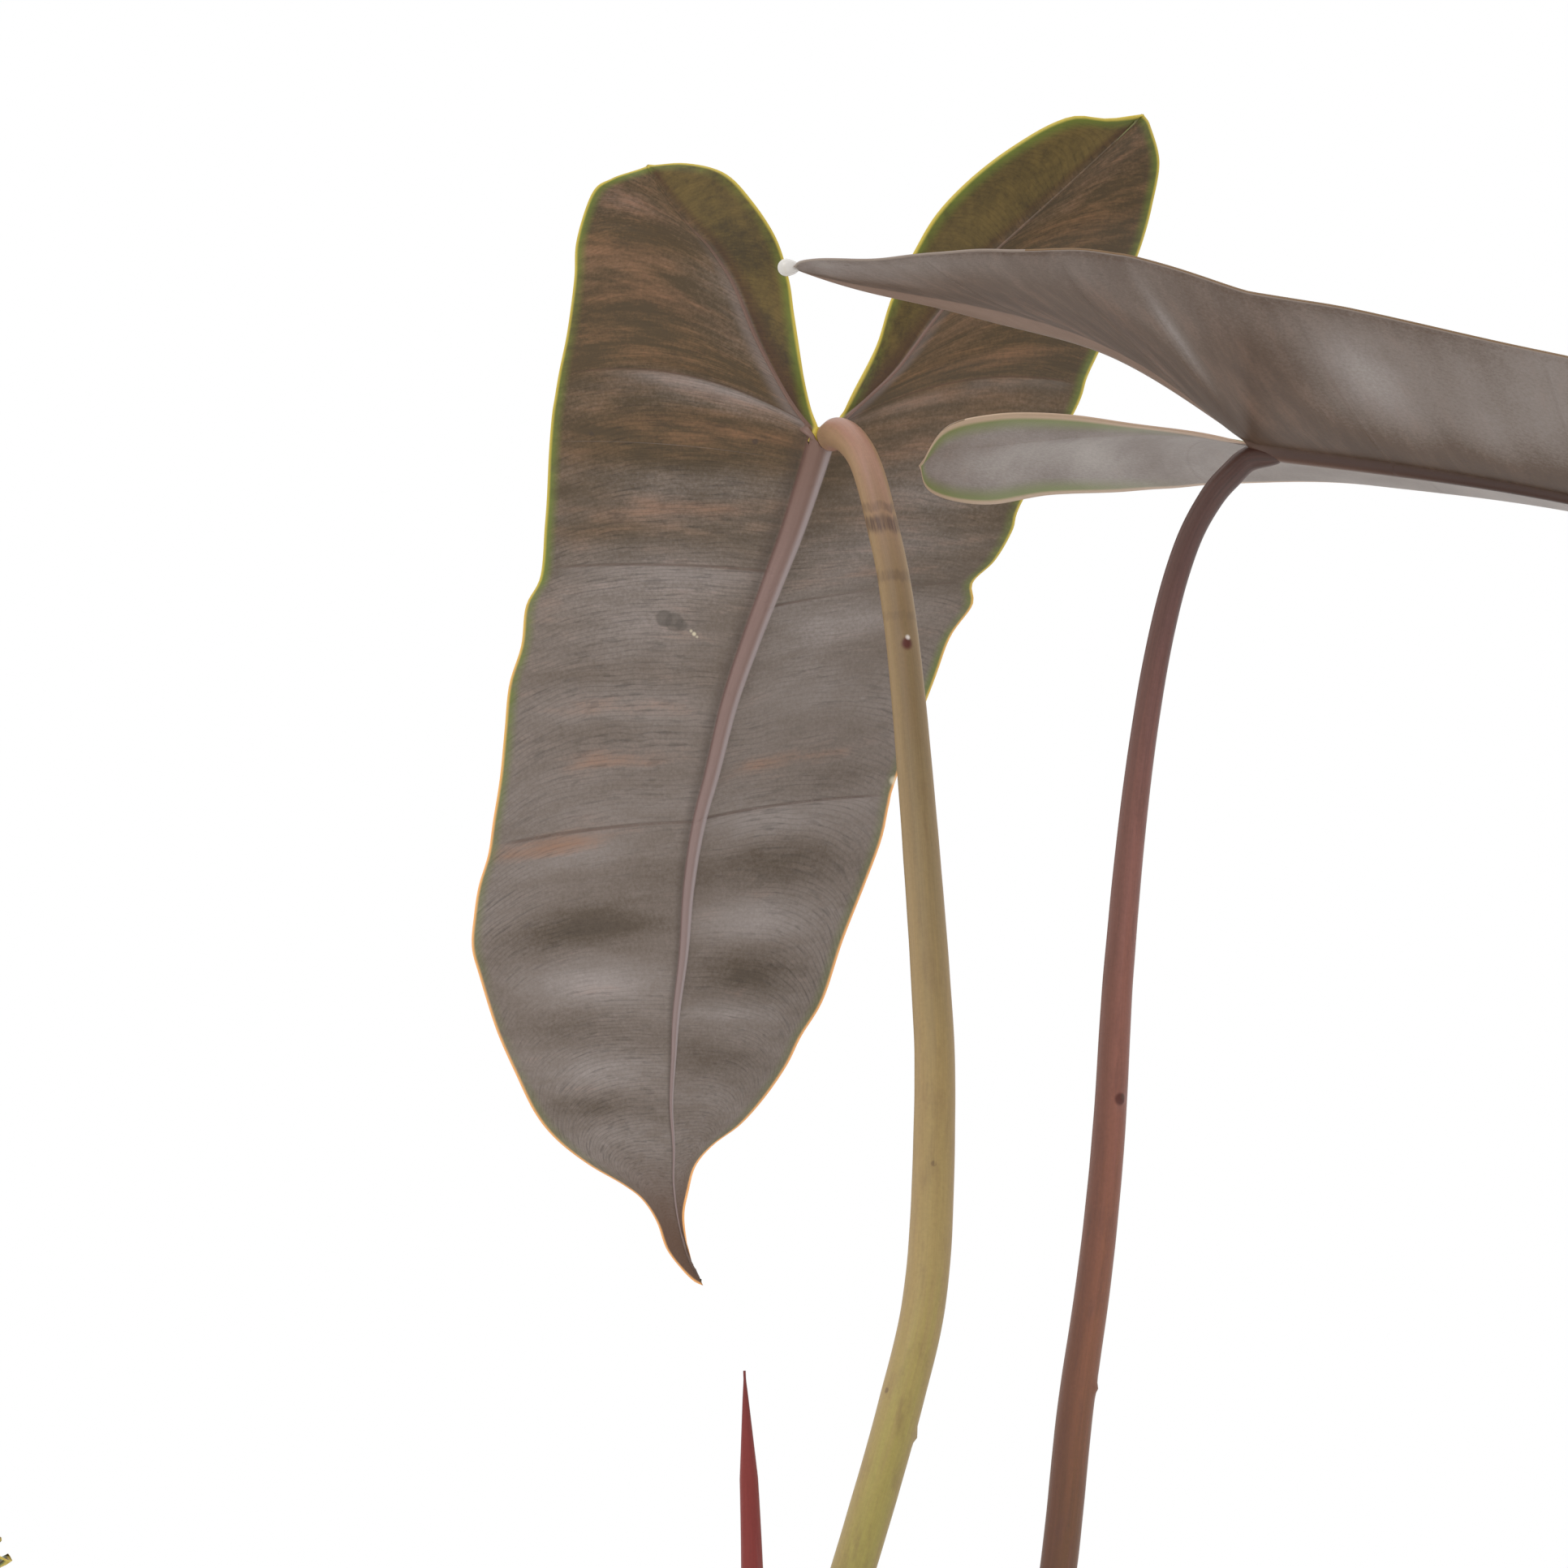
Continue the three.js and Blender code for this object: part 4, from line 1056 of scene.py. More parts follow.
# The nearer leaf is paler and calmer. Its two halves differ, and its far lobe lets light through.
PALE = {
    "ramp": ("402D20", "5C4738", "8A7E77", "9E9490", "B2AAA5"), "swell": 0.34, "streak": 0.1,
    "warm": ("5A4536", "705A4B"), "warmth": 0.6, "flush": "8A6653", "notch": ("7F6454", "8E7262"),
    "green": "76823E", "edge": ("96867A", "BFA189"), "edge_width": 0.6, "glow": 0.05,
    "nerve": ("3A231B", "482C22", "462D24", "482B22"), "veins": 0.15, "sided": True,
}
print("Underside tones run from", GREY["ramp"][0], "to", GREY["ramp"][-1])

# %% [markdown]
# ## The upper face
#
# Above, the same blade is a deep bronze green with a waxy gloss. The veins are sunk instead of
# raised, so their lines are a little paler and catch the light on one side.


# %% Upper face
def upper_face(name, deep, fresh):
    material, shader, wire = new_finish(name)
    at = read_blade(wire)
    bands = cloud(place(at.share * 1.4, at.run * 0.12, 5.0), 1.0, 3.0)
    blotch = cloud(at.point, 24.0, 3.0)
    grain = cloud(at.point, 900.0, 2.0)
    lines = veinlets(at)
    # at.tone paints a little of the quilting's shade and light in here too.
    level = at.tone * 0.16 + bands * 0.7 + (blotch - 0.5) * 0.5 + lines * 0.08
    level = level + (grain - 0.5) * 0.15
    color = between(step(level, 0.1, 0.75), deep, fresh)
    line = step(abs(at.vein), 1.1, 0.2) * step(at.rim, 2.0, 8.0)
    color = stain(color, line * 0.5, "7C8048")
    nerve = step(at.rib, 1.1, 0.7)
    color = stain(color, nerve * 0.85, "8C8A55")
    color = stain(color, step(at.row, 0.16, 0.0) * 0.5, "6A4A30")
    color = stain(color, step(at.rim, 0.9, 0.3), "7A5B36")
    skin = 0.6 - lines * 0.3 - line * 1.5 + grain * 0.2 - nerve * 0.8
    feed(shader, base_color=color, roughness=0.27 + grain * 0.12, coat_weight=0.25,
         coat_roughness=0.2, normal=relief(skin, 0.00018, 0.7))
    return material


print("The upper face has a coat of wax")

# %% Dress the blades
# A drop has dried on the leaf in focus, beside a thin pale scar, and lower down is a painted glint,
# a pale dot.
DRIED_DROP = [
    (Vector((-21.4, 93, 432)), 1.6, 2.1), (Vector((-19.3, 93, 431.3)), 1.7, 2.2),
    (Vector((-17.9, 93, 430.7)), 1.0, 1.6),
]
PALE_SCARS_AND_GLINT = [
    (Vector((-15.9, 92.8, 429.5)), 0.35, 0.6), (Vector((-15.3, 92.8, 428.9)), 0.45, 0.7),
    (Vector((-14.7, 92.8, 428.3)), 0.35, 0.6), (Vector((25.5, 112.8, 400.6)), 0.3, 1.3),
]
for leaf, blade in zip(leaves, blades):
    number = leaf["number"]
    spots = (DRIED_DROP, PALE_SCARS_AND_GLINT) if number == 1 else ()
    look = PALE if number == 2 else GREY
    blade.data.materials.append(upper_face(f"blade_{number}_upper", "2C3319", "56602F"))
    blade.data.materials.append(underside(f"blade_{number}_under", look, *spots))
    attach(blade, "root")
    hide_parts(f"blade_{number}")
print("Dressed", len(blades), "blades")

# %% [markdown]
# ## The leaf stalks
#
# A stalk is a smooth round rod that clasps the stem, slims upwards and swells a little in the
# knee under the blade. A bent rod could be a curve with a bevel, but we want its points to know
# how far up the stalk they are, for the colours. So a flat grid is rolled into a tube: its
# columns go round, its rows go up, and the seam and the two ends are welded shut.

# %% A grid rolled into a tube along a line
def even_line(points, steps):
    """Points at equal distances along the smooth curve through points, and its length."""
    fine = [on_curve(points, k / 24) for k in range(24 * (len(points) - 1) + 1)]
    runs = [0]
    for one, two in zip(fine, fine[1:]):
        runs.append(runs[-1] + (two - one).length)
    line = []
    k = 0
    for step_number in range(steps + 1):
        want = runs[-1] * step_number / steps
        while k < len(runs) - 2 and runs[k + 1] < want:
            k += 1
        line.append(fine[k].lerp(fine[k + 1], (want - runs[k]) / (runs[k + 1] - runs[k])))
    return line, runs[-1]


def roll_tube(name, points, radius_at, around, steps):
    """A closed tube. radius_at takes the share of its length and the turn, in mm and radians."""
    line, length = even_line([Vector(p) for p in points], steps)
    side = Vector((1, 0.2, 0.1))
    frames = []
    for k in range(steps + 1):
        ahead = (line[min(k + 1, steps)] - line[max(k - 1, 0)]).normalized()
        side = (side - ahead * side.dot(ahead)).normalized()
        frames.append((side.copy(), ahead.cross(side)))
    stations = [(0, 0), (0, 0.6), *[(k, 1) for k in range(steps + 1)], (steps, 0.6), (steps, 0)]
    tube = flat_grid(around, len(stations) - 1)
    tube.name = name
    notes = {note: [] for note in ("climb", "run", "round_x", "round_y")}
    for vertex in tube.data.vertices:
        k, closing = stations[round((vertex.co.y + 0.5) * (len(stations) - 1))]
        turn = 2 * math.pi * (vertex.co.x + 0.5)
        one, two = frames[k]
        radius = radius_at(k / steps, turn) * closing
        cosine, sine = math.cos(turn), math.sin(turn)
        vertex.co = (line[k] + (one * cosine + two * sine) * radius) * MM
        notes["climb"].append(k / steps)
        notes["run"].append(length * k / steps)
        notes["round_x"].append(cosine)
        notes["round_y"].append(sine)
    write_notes(tube, notes)
    weld()
    face_outwards()
    bpy.ops.object.shade_smooth()
    return tube


print("A tube's points note how far up and how far round they are")

# %% The stalks' middle lines, from the stem up, and their other measures, in millimetres
STALKS = [
    [
        (-2, 1, 158), (-3, 8, 168), (-2, 12.5, 188), (6, 15, 212), (16.3, 18, 244.6),
        (25, 21, 274.4), (30.3, 25, 298.4), (32, 30, 332.7), (31.3, 34, 356.7),
        (27.8, 42, 405.4), (25.1, 47, 431.7), (22.1, 51, 447.5), (19.3, 55, 458.5),
        (16.5, 61, 464.2), (13.8, 68, 466.8),
    ],
    [
        (-1, 1, 148), (8, -3, 154), (22, -11, 172), (38, -21, 200), (49, -27.5, 226),
        (53, -30, 246.8), (56, -33, 275.3), (59.5, -36, 300.2), (62, -38, 325.2),
        (63.8, -40, 354.6), (66.6, -42, 384), (69.6, -43, 405.4), (72.8, -44, 421.2),
        (76.5, -45, 433.1), (80.6, -46, 440.8), (84.2, -47, 445),
    ],
    [
        (-1, 1, 140), (-9, 0, 145), (-40, -6, 169), (-90, -12, 196), (-140, -17, 212),
        (-174, -19.3, 215.5),
    ],
    [(-1, 2, 131), (5, 8, 136), (28, 36, 164), (58, 70, 185), (76, 90, 188)],
    [(-1, 1, 123), (-1, -7, 128), (1, -38, 154), (4, -82, 176), (7, -106, 178.5)],
    [(-1, 2, 115), (-8, 8, 120), (-30, 29, 144), (-62, 58, 164), (-79, 73.6, 167)],
    [(0, 2, 108.5), (9, 1, 112), (38, -4, 131), (74, -10, 144), (93, -13, 145.5)],
]
# Each stalk's radius at the foot, in the middle and at the top.
THICK = [
    (5.6, 4.3, 3), (4.8, 3.4, 2.2), (4.6, 3.1, 2.3), (4.6, 3.2, 2.3), (4.4, 3, 2.2),
    (4.2, 2.9, 2.1), (3.8, 2.6, 2),
]
# How deep each stalk sits under its blade, as a share of its radius, and how far to the side.
SEATS = [(0.4, 2)] + [(0.85, 0)] * 6
# The hanging leaf's stalk ends at its blade. The others bend on into the midrib by this many
# millimetres, along it and up, and end there as a rounded knee.
KNEE_ALONG = 6
KNEE_UP = 0.9
# Small warts on the two stalks in the picture, by stalk.
WARTS = {
    1: [Vector((28.3, 20, 269.2)), Vector((27, 41.2, 423.2))],
    2: [Vector((60.1, -35, 279.3)), Vector((64.1, -41.2, 331.8))],
}
WART_HEIGHT = 0.7
# The share of its length in which a stalk's end is rounded. The first stalk's is cut flat.
TAILS = [0, 0.02] + [0.035] * 5
print("Points a stalk's line:", [len(line) for line in STALKS])


# %% Grow the stalks
def grow_stalk(leaf):
    number = leaf["number"]
    foot, middle, top = THICK[number - 1]
    seat, aside = SEATS[number - 1]
    joint, across, along, up = leaf["frame"]
    end = joint - up * (0.6 + seat * top) - along * 0.5 + across * aside
    tail = TAILS[number - 1]
    path = [*STALKS[number - 1], end]
    if tail:
        path.append(end + along * KNEE_ALONG + up * KNEE_UP)

    def radius_at(share, turn):
        if share < 0.12:
            radius = mix(foot, middle, ease(0, 0.12, share))
        else:
            radius = mix(middle, top, ease(0.35, 1, share))
        knee = 0.07 * bell(share, 0.965, 0.02)
        channel = 0.05 * max(math.cos(turn), 0) ** 6 * ease(0.9, 0.2, share)
        rough = 0.012 * noise.noise(Vector((share * 40, math.cos(turn), math.sin(turn))))
        closed = math.sqrt(1.05 - ((share - 1 + tail) / tail) ** 2) if share > 1 - tail else 1
        return radius * (1 + knee - channel + rough) * closed

    steps = 320 if number < 3 else 110
    stalk = roll_tube(f"leaf_stalk_{number}", path, radius_at, 32, steps)
    for spot in WARTS.get(number, []):
        for vertex in stalk.data.vertices:
            away = (vertex.co / MM - spot).length
            if away < 4:
                vertex.co += vertex.normal * WART_HEIGHT * MM * bell(away, 0, 0.9)
    return stalk


stalks = [grow_stalk(leaf) for leaf in leaves]
print("Stalk faces:", [len(stalk.data.polygons) for stalk in stalks])

# %% [markdown]
# ## Skin of the stalks
#
# The stalk in focus is olive tan, pinker towards its knee and greener towards the stem, with
# faint lengthwise streaks and brown freckles. Near its knee it has dark ring-shaped marks, and
# a small red-brown scar with a painted glint beside it. The stalks on the red side of the plant
# are wine brown and glossier. The flanks of each stalk are painted with light and shade.


# %% Stalk finish
def stalk_skin(name, ramp, mottle, flank_light_and_shade, gloss, rings=(), scars_and_glints=()):
    """The two flank colours are painted light and shade on the sides; rings have a height, half a
    width and a strength; scars and a painted glint have a spot, a radius and a colour.
    """
    material, shader, wire = new_finish(name)
    climb, run, x, y = (mark(wire, n) for n in ("climb", "run", "round_x", "round_y"))
    point = object_point(wire)
    lengthwise = cloud(place(x * 2.6, y * 2.6, run * 0.02), 1.6, 4.0, 0.6)
    patches = cloud(place(x, y, run * 0.07), 1.5, 4.0, 0.6)
    fibre = cloud(place(x * 16.0, y * 16.0, run * 0.12), 1.0, 2.0)
    grain = cloud(point, 1400.0, 2.0)
    color = color_ramp(climb + (lengthwise - 0.5) * 0.2, ramp)
    color = stain(color, step(patches, 0.48, 0.72) * 0.4, mottle)
    if rings:
        color = stain(color, step(climb, 0.84, 0.97) * 0.6, "B08070")
    # Painted light and shade on the stalk's two flanks.
    color = stain(color, step(x, -0.35, -1.0) * 0.6, flank_light_and_shade[0])
    color = stain(color, step(x, 0.45, 1.0) * 0.6, flank_light_and_shade[1])
    color = shade(color, 0.74 + fibre * 0.22 + grain * 0.22)
    height = axis(point, 2) / MM
    broken = step(patches + fibre, 0.8, 1.2) * 0.6 + 0.4
    for middle, half_width, amount in rings:
        away = abs(height - middle + (lengthwise - 0.5) * 3)
        ring = step(away, half_width, half_width * 0.3) * broken
        color = stain(color, ring * amount, "4E382F")
    # Scars, and a painted glint, each as a spot of colour.
    for spot, size, code in scars_and_glints:
        color = stain(color, near(wire, spot * MM, size * 0.5 * MM, size * MM), code)
    cell = wire.node("TexVoronoi", None, {"Vector": point, "Scale": 130.0})
    freckles = step(cell, 0.1, 0.05) * step(patches, 0.52, 0.6)
    color = stain(color, freckles * 0.55, "5B4030")
    skin = fibre * 0.5 + grain * 0.25 + patches * 0.4
    feed(shader, base_color=color, roughness=gloss + grain * 0.15, normal=relief(skin, 0.00012, 0.6))
    return material


print("A stalk's colours run up its length")

# %% Dress the stalks
OLIVE = (
    "8F8B45", "98924A", "ABA056", "AE9E58", "B09860", "A88E5C", "99825A", "88714F", "8C7050",
    "A87D68",
)
WINE = ("593C22", "5E4026", "664529", "724B30", "8C583F", "925C4C", "926055", "74504A", "4A342E")
RINGS = [(446.5, 2.4, 0.85), (450, 1.4, 0.5), (436, 1.6, 0.4), (428, 1.2, 0.25)]
# A red-brown scar on the first stalk, and a painted glint just above it.
OLIVE_SCAR_AND_GLINT = [
    (Vector((27.1, 41.1, 422.5)), 1.8, "5A2A20"), (Vector((27.3, 41.6, 423.8)), 0.9, "E6DCD4"),
]
WINE_SCARS = [(Vector((64.1, -41.6, 331.8)), 1.5, "5A2A20")]
first_skin = stalk_skin(
    "stalk_1_skin", OLIVE, "8A6F4C", ("A98C62", "A8895C"), 0.4, RINGS, OLIVE_SCAR_AND_GLINT)
wine_skin = stalk_skin(
    "wine_stalk_skin", WINE, "6B463D", ("5A382B", "98685A"), 0.32, scars_and_glints=WINE_SCARS)
olive_skin = stalk_skin("olive_stalk_skin", OLIVE, "8C6A50", ("9A8F55", "A08C5A"), 0.4)
skins = [first_skin, wine_skin, wine_skin] + [olive_skin] * 4
for number, (stalk, stalk_finish) in enumerate(zip(stalks, skins), 1):
    stalk.data.materials.append(stalk_finish)
    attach(stalk, "root")
    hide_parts(f"petiole_{number}")
    "wine_stalk" if number in (2, 3) else "olive_stalk"
print("Dressed", len(stalks), "stalks")

# %% [markdown]
# ## The stem and its roots
#
# The leaves spring from a short stem. Each leaf that grows leaves a swollen node with a ring
# round it, and below the nodes come a few aerial roots, which bend down into the soil. The stem
# and roots are tubes again, joined as one piece.

# %% Grow the stem
NODES = [158, 148, 140, 131, 123, 115, 108.5, 99, 90, 81]
STEM_FOOT, STEM_TOP = 70, 171
ROOTS = [
    ([(0, 1, 129), (-8, -9, 125), (-14, -19, 112), (-16, -23, 98), (-17, -24, 86)], 1.8),
    ([(0, 3, 119), (-1, 12, 117), (0, 22, 108), (1, 26, 97), (1, 28, 87)], 1.8),
    ([(0, 1, 139), (8, -7, 136.5), (11, -10.5, 130)], 1.7),
]


def stem_radius(share, turn):
    """7 mm at the foot and 5.6 at the top, swollen at each node, with a ring under it."""
    z = mix(STEM_FOOT, STEM_TOP, share)
    swell = sum(0.9 * bell(z, node, 2) + 0.35 * bell(z, node - 2.6, 0.5) for node in NODES)
    rough = 0.18 * noise.noise(Vector((math.cos(turn) * 1.4, math.sin(turn) * 1.4, z * 0.35)))
    return mix(7, 5.6, share) + swell + rough - 1.6 * ease(0.985, 1, share)


stem = roll_tube(
    "stem_and_roots", [(0, 3, STEM_FOOT), (0, 2.5, 105), (-1, 1, 140), (-2, 0, STEM_TOP)],
    stem_radius, 36, 240)
roots = []
for number, (points, radius) in enumerate(ROOTS):
    def root_radius(share, turn, radius=radius):
        bumps = 0.12 * noise.noise(Vector((share * 14, math.cos(turn), number * 3.0)))
        return radius * mix(1, 0.72, share) + bumps - radius * 0.5 * ease(0.97, 1, share)

    roots.append(roll_tube(f"root_{number}", points, root_radius, 18, 50))
alone(stem, *roots)
bpy.ops.object.join()
print("Stem and roots:", len(stem.data.polygons), "faces")


# %% Green young stem, brown and corky below
def stem_skin():
    material, shader, wire = new_finish("stem_skin")
    x, y = mark(wire, "round_x"), mark(wire, "round_y")
    point = object_point(wire)
    height = axis(point, 2) / MM
    patches = cloud(point, 110.0, 4.0, 0.6)
    fibre = cloud(place(x * 9.0, y * 9.0, height * 0.08), 1.0, 3.0)
    grain = cloud(point, 1200.0, 2.0)
    age = step(height + (patches - 0.5) * 60, 160.0, 95.0)
    color = between(age, "7C8450", "7A6142")
    color = shade(color, 0.7 + fibre * 0.4 + grain * 0.2)
    for node in NODES:
        away = abs(height - (node - 2.4) + (fibre - 0.5) * 1.6)
        color = stain(color, step(away, 1.3, 0.3) * 0.75, "4B3626")
    skin = fibre * 0.6 + patches * 0.5 + grain * 0.3
    feed(shader, base_color=color, roughness=0.5 + grain * 0.25, normal=relief(skin, 0.0003, 0.8))
    return material


stem.data.materials.append(stem_skin())
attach(stem, "root")
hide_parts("stem")
print("The stem has", len(NODES), "rings")

# %% [markdown]
# ## The rolled new leaf and its sheath
#
# The next leaf stands rolled up like an umbrella. Its edge shows as a fine seam that winds up
# the spike, and the sheath leaf that it came out of wraps its foot, drying to a papery brown at
# the tip. The spike is a tube whose section is a spiral: its radius grows as it goes round and
# drops back at the seam.

# %% Roll the new leaf
SPIKE = [(-2, -0.4, 170.3), (-2.3, -0.3, 205), (-2.9, 0, 245), (-4.4, 0, 282)]


def spike_radius(share, turn):
    thinned = max(share - 0.2, 0) / 0.8
    closing = min((1 - share) / 0.18, 1) ** 0.7
    radius = max(mix(3.5, 1.35, thinned ** 0.85) * closing, 0.25)
    wound = (turn / (2 * math.pi) + 0.55 + share * 0.9) % 1
    grown = wound / 0.94 if wound < 0.94 else 1 - (wound - 0.94) / 0.06
    return radius * (0.93 + 0.1 * grown)


spike = roll_tube("rolled_leaf", SPIKE, spike_radius, 56, 150)
material, shader, wire = new_finish("rolled_leaf_skin")
climb, run, x, y = (mark(wire, n) for n in ("climb", "run", "round_x", "round_y"))
veins = cloud(place(x * 6.0, y * 6.0, run * 0.05), 1.5, 3.0)
grain = cloud(object_point(wire), 1300.0, 2.0)
color = between(step(climb + (veins - 0.5) * 0.3, 0.1, 0.6), "7D5B3C", "842F29")
color = stain(color, step(climb, 0.85, 1.0) * 0.4, "6A2A24")
color = shade(color, 0.78 + veins * 0.3 + grain * 0.14)
skin = veins * 0.7 + grain * 0.2
feed(shader, base_color=color, roughness=0.36 + grain * 0.14, normal=relief(skin, 0.00012, 0.7))
spike.data.materials.append(material)
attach(spike, "root")
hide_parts("new_leaf")
print("The rolled leaf is", round(spike.dimensions.z * 1000), "mm long")

# %% Wrap the sheath leaf round its foot
SHEATH_FOOT = Vector((-2.15, -0.4, 170.4))
SHEATH_HEIGHT = 50
SHEATH_RADIUS = 4.5
SHEATH_HALF_TURN = 2.0
sheath = flat_grid(36, 60)
sheath.name = "sheath_leaf"
notes = {"climb": [], "share": []}
for vertex in sheath.data.vertices:
    rise = (vertex.co.y + 0.5) * 0.985
    share = 2 * vertex.co.x
    reach = SHEATH_HALF_TURN * math.sqrt(1 - rise ** 2.4)
    facing = reach * share - math.pi / 2
    keel = 0.5 * (bell(share, -0.35, 0.08) + bell(share, 0.35, 0.08)) * (1 - rise)
    curl = 0.7 * max(abs(share) - 0.75, 0) / 0.25 * ease(0.2, 0.8, rise)
    radius = SHEATH_RADIUS + keel + curl * 0.6 - 0.3 * rise
    outwards = Vector((radius * math.cos(facing), radius * math.sin(facing), rise * SHEATH_HEIGHT))
    vertex.co = (SHEATH_FOOT + outwards) * MM
    notes["climb"].append(rise)
    notes["share"].append(share)
write_notes(sheath, notes)
weld()
apply_modifier(sheath, "SOLIDIFY", thickness=0.7 * MM, offset=0)
apply_modifier(sheath, "SUBSURF", levels=1, render_levels=1)
bpy.ops.object.shade_smooth()
material, shader, wire = new_finish("sheath_skin")
climb, share = mark(wire, "climb"), mark(wire, "share")
point = object_point(wire)
lines = cloud(place(share * 12.0, climb * 1.2, 0.0), 1.0, 3.0)
patches = cloud(point, 130.0, 3.0)
dry = step(climb + (patches - 0.5) * 0.5, 0.35, 0.95)
color = between(dry, "8E6650", "9A7A52")
color = stain(color, step(climb, 0.25, 0.0), "8A7C4C")
color = stain(color, step(climb, 0.93, 1.0) * 0.7, "5A4028")
color = shade(color, 0.75 + lines * 0.4)
feed(shader, base_color=color, roughness=0.45 + dry * 0.2, normal=relief(lines, 0.0003, 0.8))
sheath.data.materials.append(material)
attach(sheath, "root")
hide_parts("cataphyll")
print("The sheath is", round(sheath.dimensions.z * 1000), "mm tall")

# %% [markdown]
# ## The drop on the nearer leaf's lobe
#
# Aroids give off water at their leaf tips. A pale drop hangs on the lobe end that points into
# the picture. A ball is drawn out a little towards the leaf, as surface tension does.

# %% Hang the drop
DROP_RADIUS = 1.6 * MM
DROP_ASIDE = 1.2 * MM
DROP_PULL = 0.9 * MM
nearer = blades[1].data
rows = nearer.attributes["row"].data
shares = nearer.attributes["share"].data
tips = [v.co for v in nearer.vertices if rows[v.index].value > 1.985 and shares[v.index].value > 0]
tip = sum(tips, Vector()) / len(tips)
tip.x -= DROP_ASIDE
bpy.ops.mesh.primitive_uv_sphere_add(segments=32, ring_count=20, radius=DROP_RADIUS, location=tip)
drop = bpy.context.object
drop.name = "water_drop"
bpy.ops.object.transform_apply(location=True)
for vertex in drop.data.vertices:
    pull = max((vertex.co.x - tip.x) / DROP_RADIUS, 0)
    vertex.co.x += DROP_PULL * pull * pull
bpy.ops.object.shade_smooth()
material, shader, wire = new_finish("water")
feed(shader, base_color=paint("E9E4DE"), roughness=0.06, alpha=0.8, coat_weight=0.5)
drop.data.materials.append(material)
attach(drop, "root")
print("The drop hangs at", [round(c, 3) for c in tip])

# %% [markdown]
# ## The pot
#
# A plain grower's pot is one thin wall of plastic: a flat foot with drain holes, a wall that
# widens upwards and a stouter rim. Turning it on a lathe would do, but it can also be pulled up
# from a disc: extrude the edge ring upwards, scale it, and repeat, up the outside, over the rim
# and down the inside. The last ring is filled to make the inner floor.

# %% Pull the pot up from a disc
POT_HEIGHT = 116
FOOT_RADIUS = 47
LIP_RADIUS = 63.8
WALL = 1.8
DISC_RADIUS = 45


def pot_radius(z):
    """The outer radius of the plain wall at a height, in mm."""
    return mix(FOOT_RADIUS, LIP_RADIUS, z / POT_HEIGHT)


# Radius and height of each ring of edges, in the order in which they are pulled.
OUTSIDE = [(46.4, 0.5), (47, 1.6), (pot_radius(7), 7), (pot_radius(7) + 0.25, 7.5)]
OUTSIDE += [(pot_radius(z) + 0.25, z) for z in (30, 55, 80, 101.4)]
RIM = [
    (pot_radius(102.4) + 0.7, 102.4), (pot_radius(103) + 1.8, 102.9),
    (pot_radius(103) + 2.2, 103.8), (65.7, 113.6), (65.5, 115.2), (64.8, 115.9), (64, 116),
    (62.9, 115.8), (62.2, 115),
]
INSIDE = [(pot_radius(z) - WALL, z) for z in (103, 80, 40, 6)] + [(44.6, 3), (42, 2.4)]
bpy.ops.mesh.primitive_circle_add(vertices=128, radius=DISC_RADIUS * MM, fill_type="NGON")
pot = bpy.context.object
pot.name = "grower_pot"
bpy.ops.object.mode_set(mode="EDIT")
bpy.ops.mesh.select_mode(type="EDGE")
bpy.ops.mesh.select_all(action="SELECT")
radius, z = DISC_RADIUS, 0
for next_radius, next_z in [*OUTSIDE, *RIM, *INSIDE]:
    bpy.ops.mesh.extrude_edges_move(TRANSFORM_OT_translate={"value": (0, 0, (next_z - z) * MM)})
    k = next_radius / radius
    bpy.ops.transform.resize(value=(k, k, 1))
    radius, z = next_radius, next_z
bpy.ops.mesh.edge_face_add()
bpy.ops.object.mode_set(mode="OBJECT")
face_outwards()
print("The pot is", [round(d * 1000, 1) for d in pot.dimensions], "mm")

# %% Drill the drain holes
DRAIN_HOLES = 6
DRAIN_CIRCLE = 33
DRAIN_RADIUS = 4
drills = []
for k in range(DRAIN_HOLES):
    turn = 2 * math.pi * k / DRAIN_HOLES
    spot = Vector((DRAIN_CIRCLE * math.cos(turn), DRAIN_CIRCLE * math.sin(turn), 1)) * MM
    bpy.ops.mesh.primitive_cylinder_add(
        vertices=32, radius=DRAIN_RADIUS * MM, depth=10 * MM, location=spot)
    drills.append(bpy.context.object)
alone(*drills)
bpy.ops.object.join()
drill = bpy.context.object
apply_modifier(pot, "BOOLEAN", operation="DIFFERENCE", solver="EXACT", object=drill)
bpy.data.objects.remove(drill)
alone(pot)
bpy.ops.object.shade_smooth_by_angle(angle=math.radians(40))
print("Pot faces with its holes:", len(pot.data.polygons))


# %% [markdown]
# Old grower's plastic is matt charcoal, faintly ribbed by the mould, with pale water marks and
# dust, and soil splashed on the inside above the soil's edge.

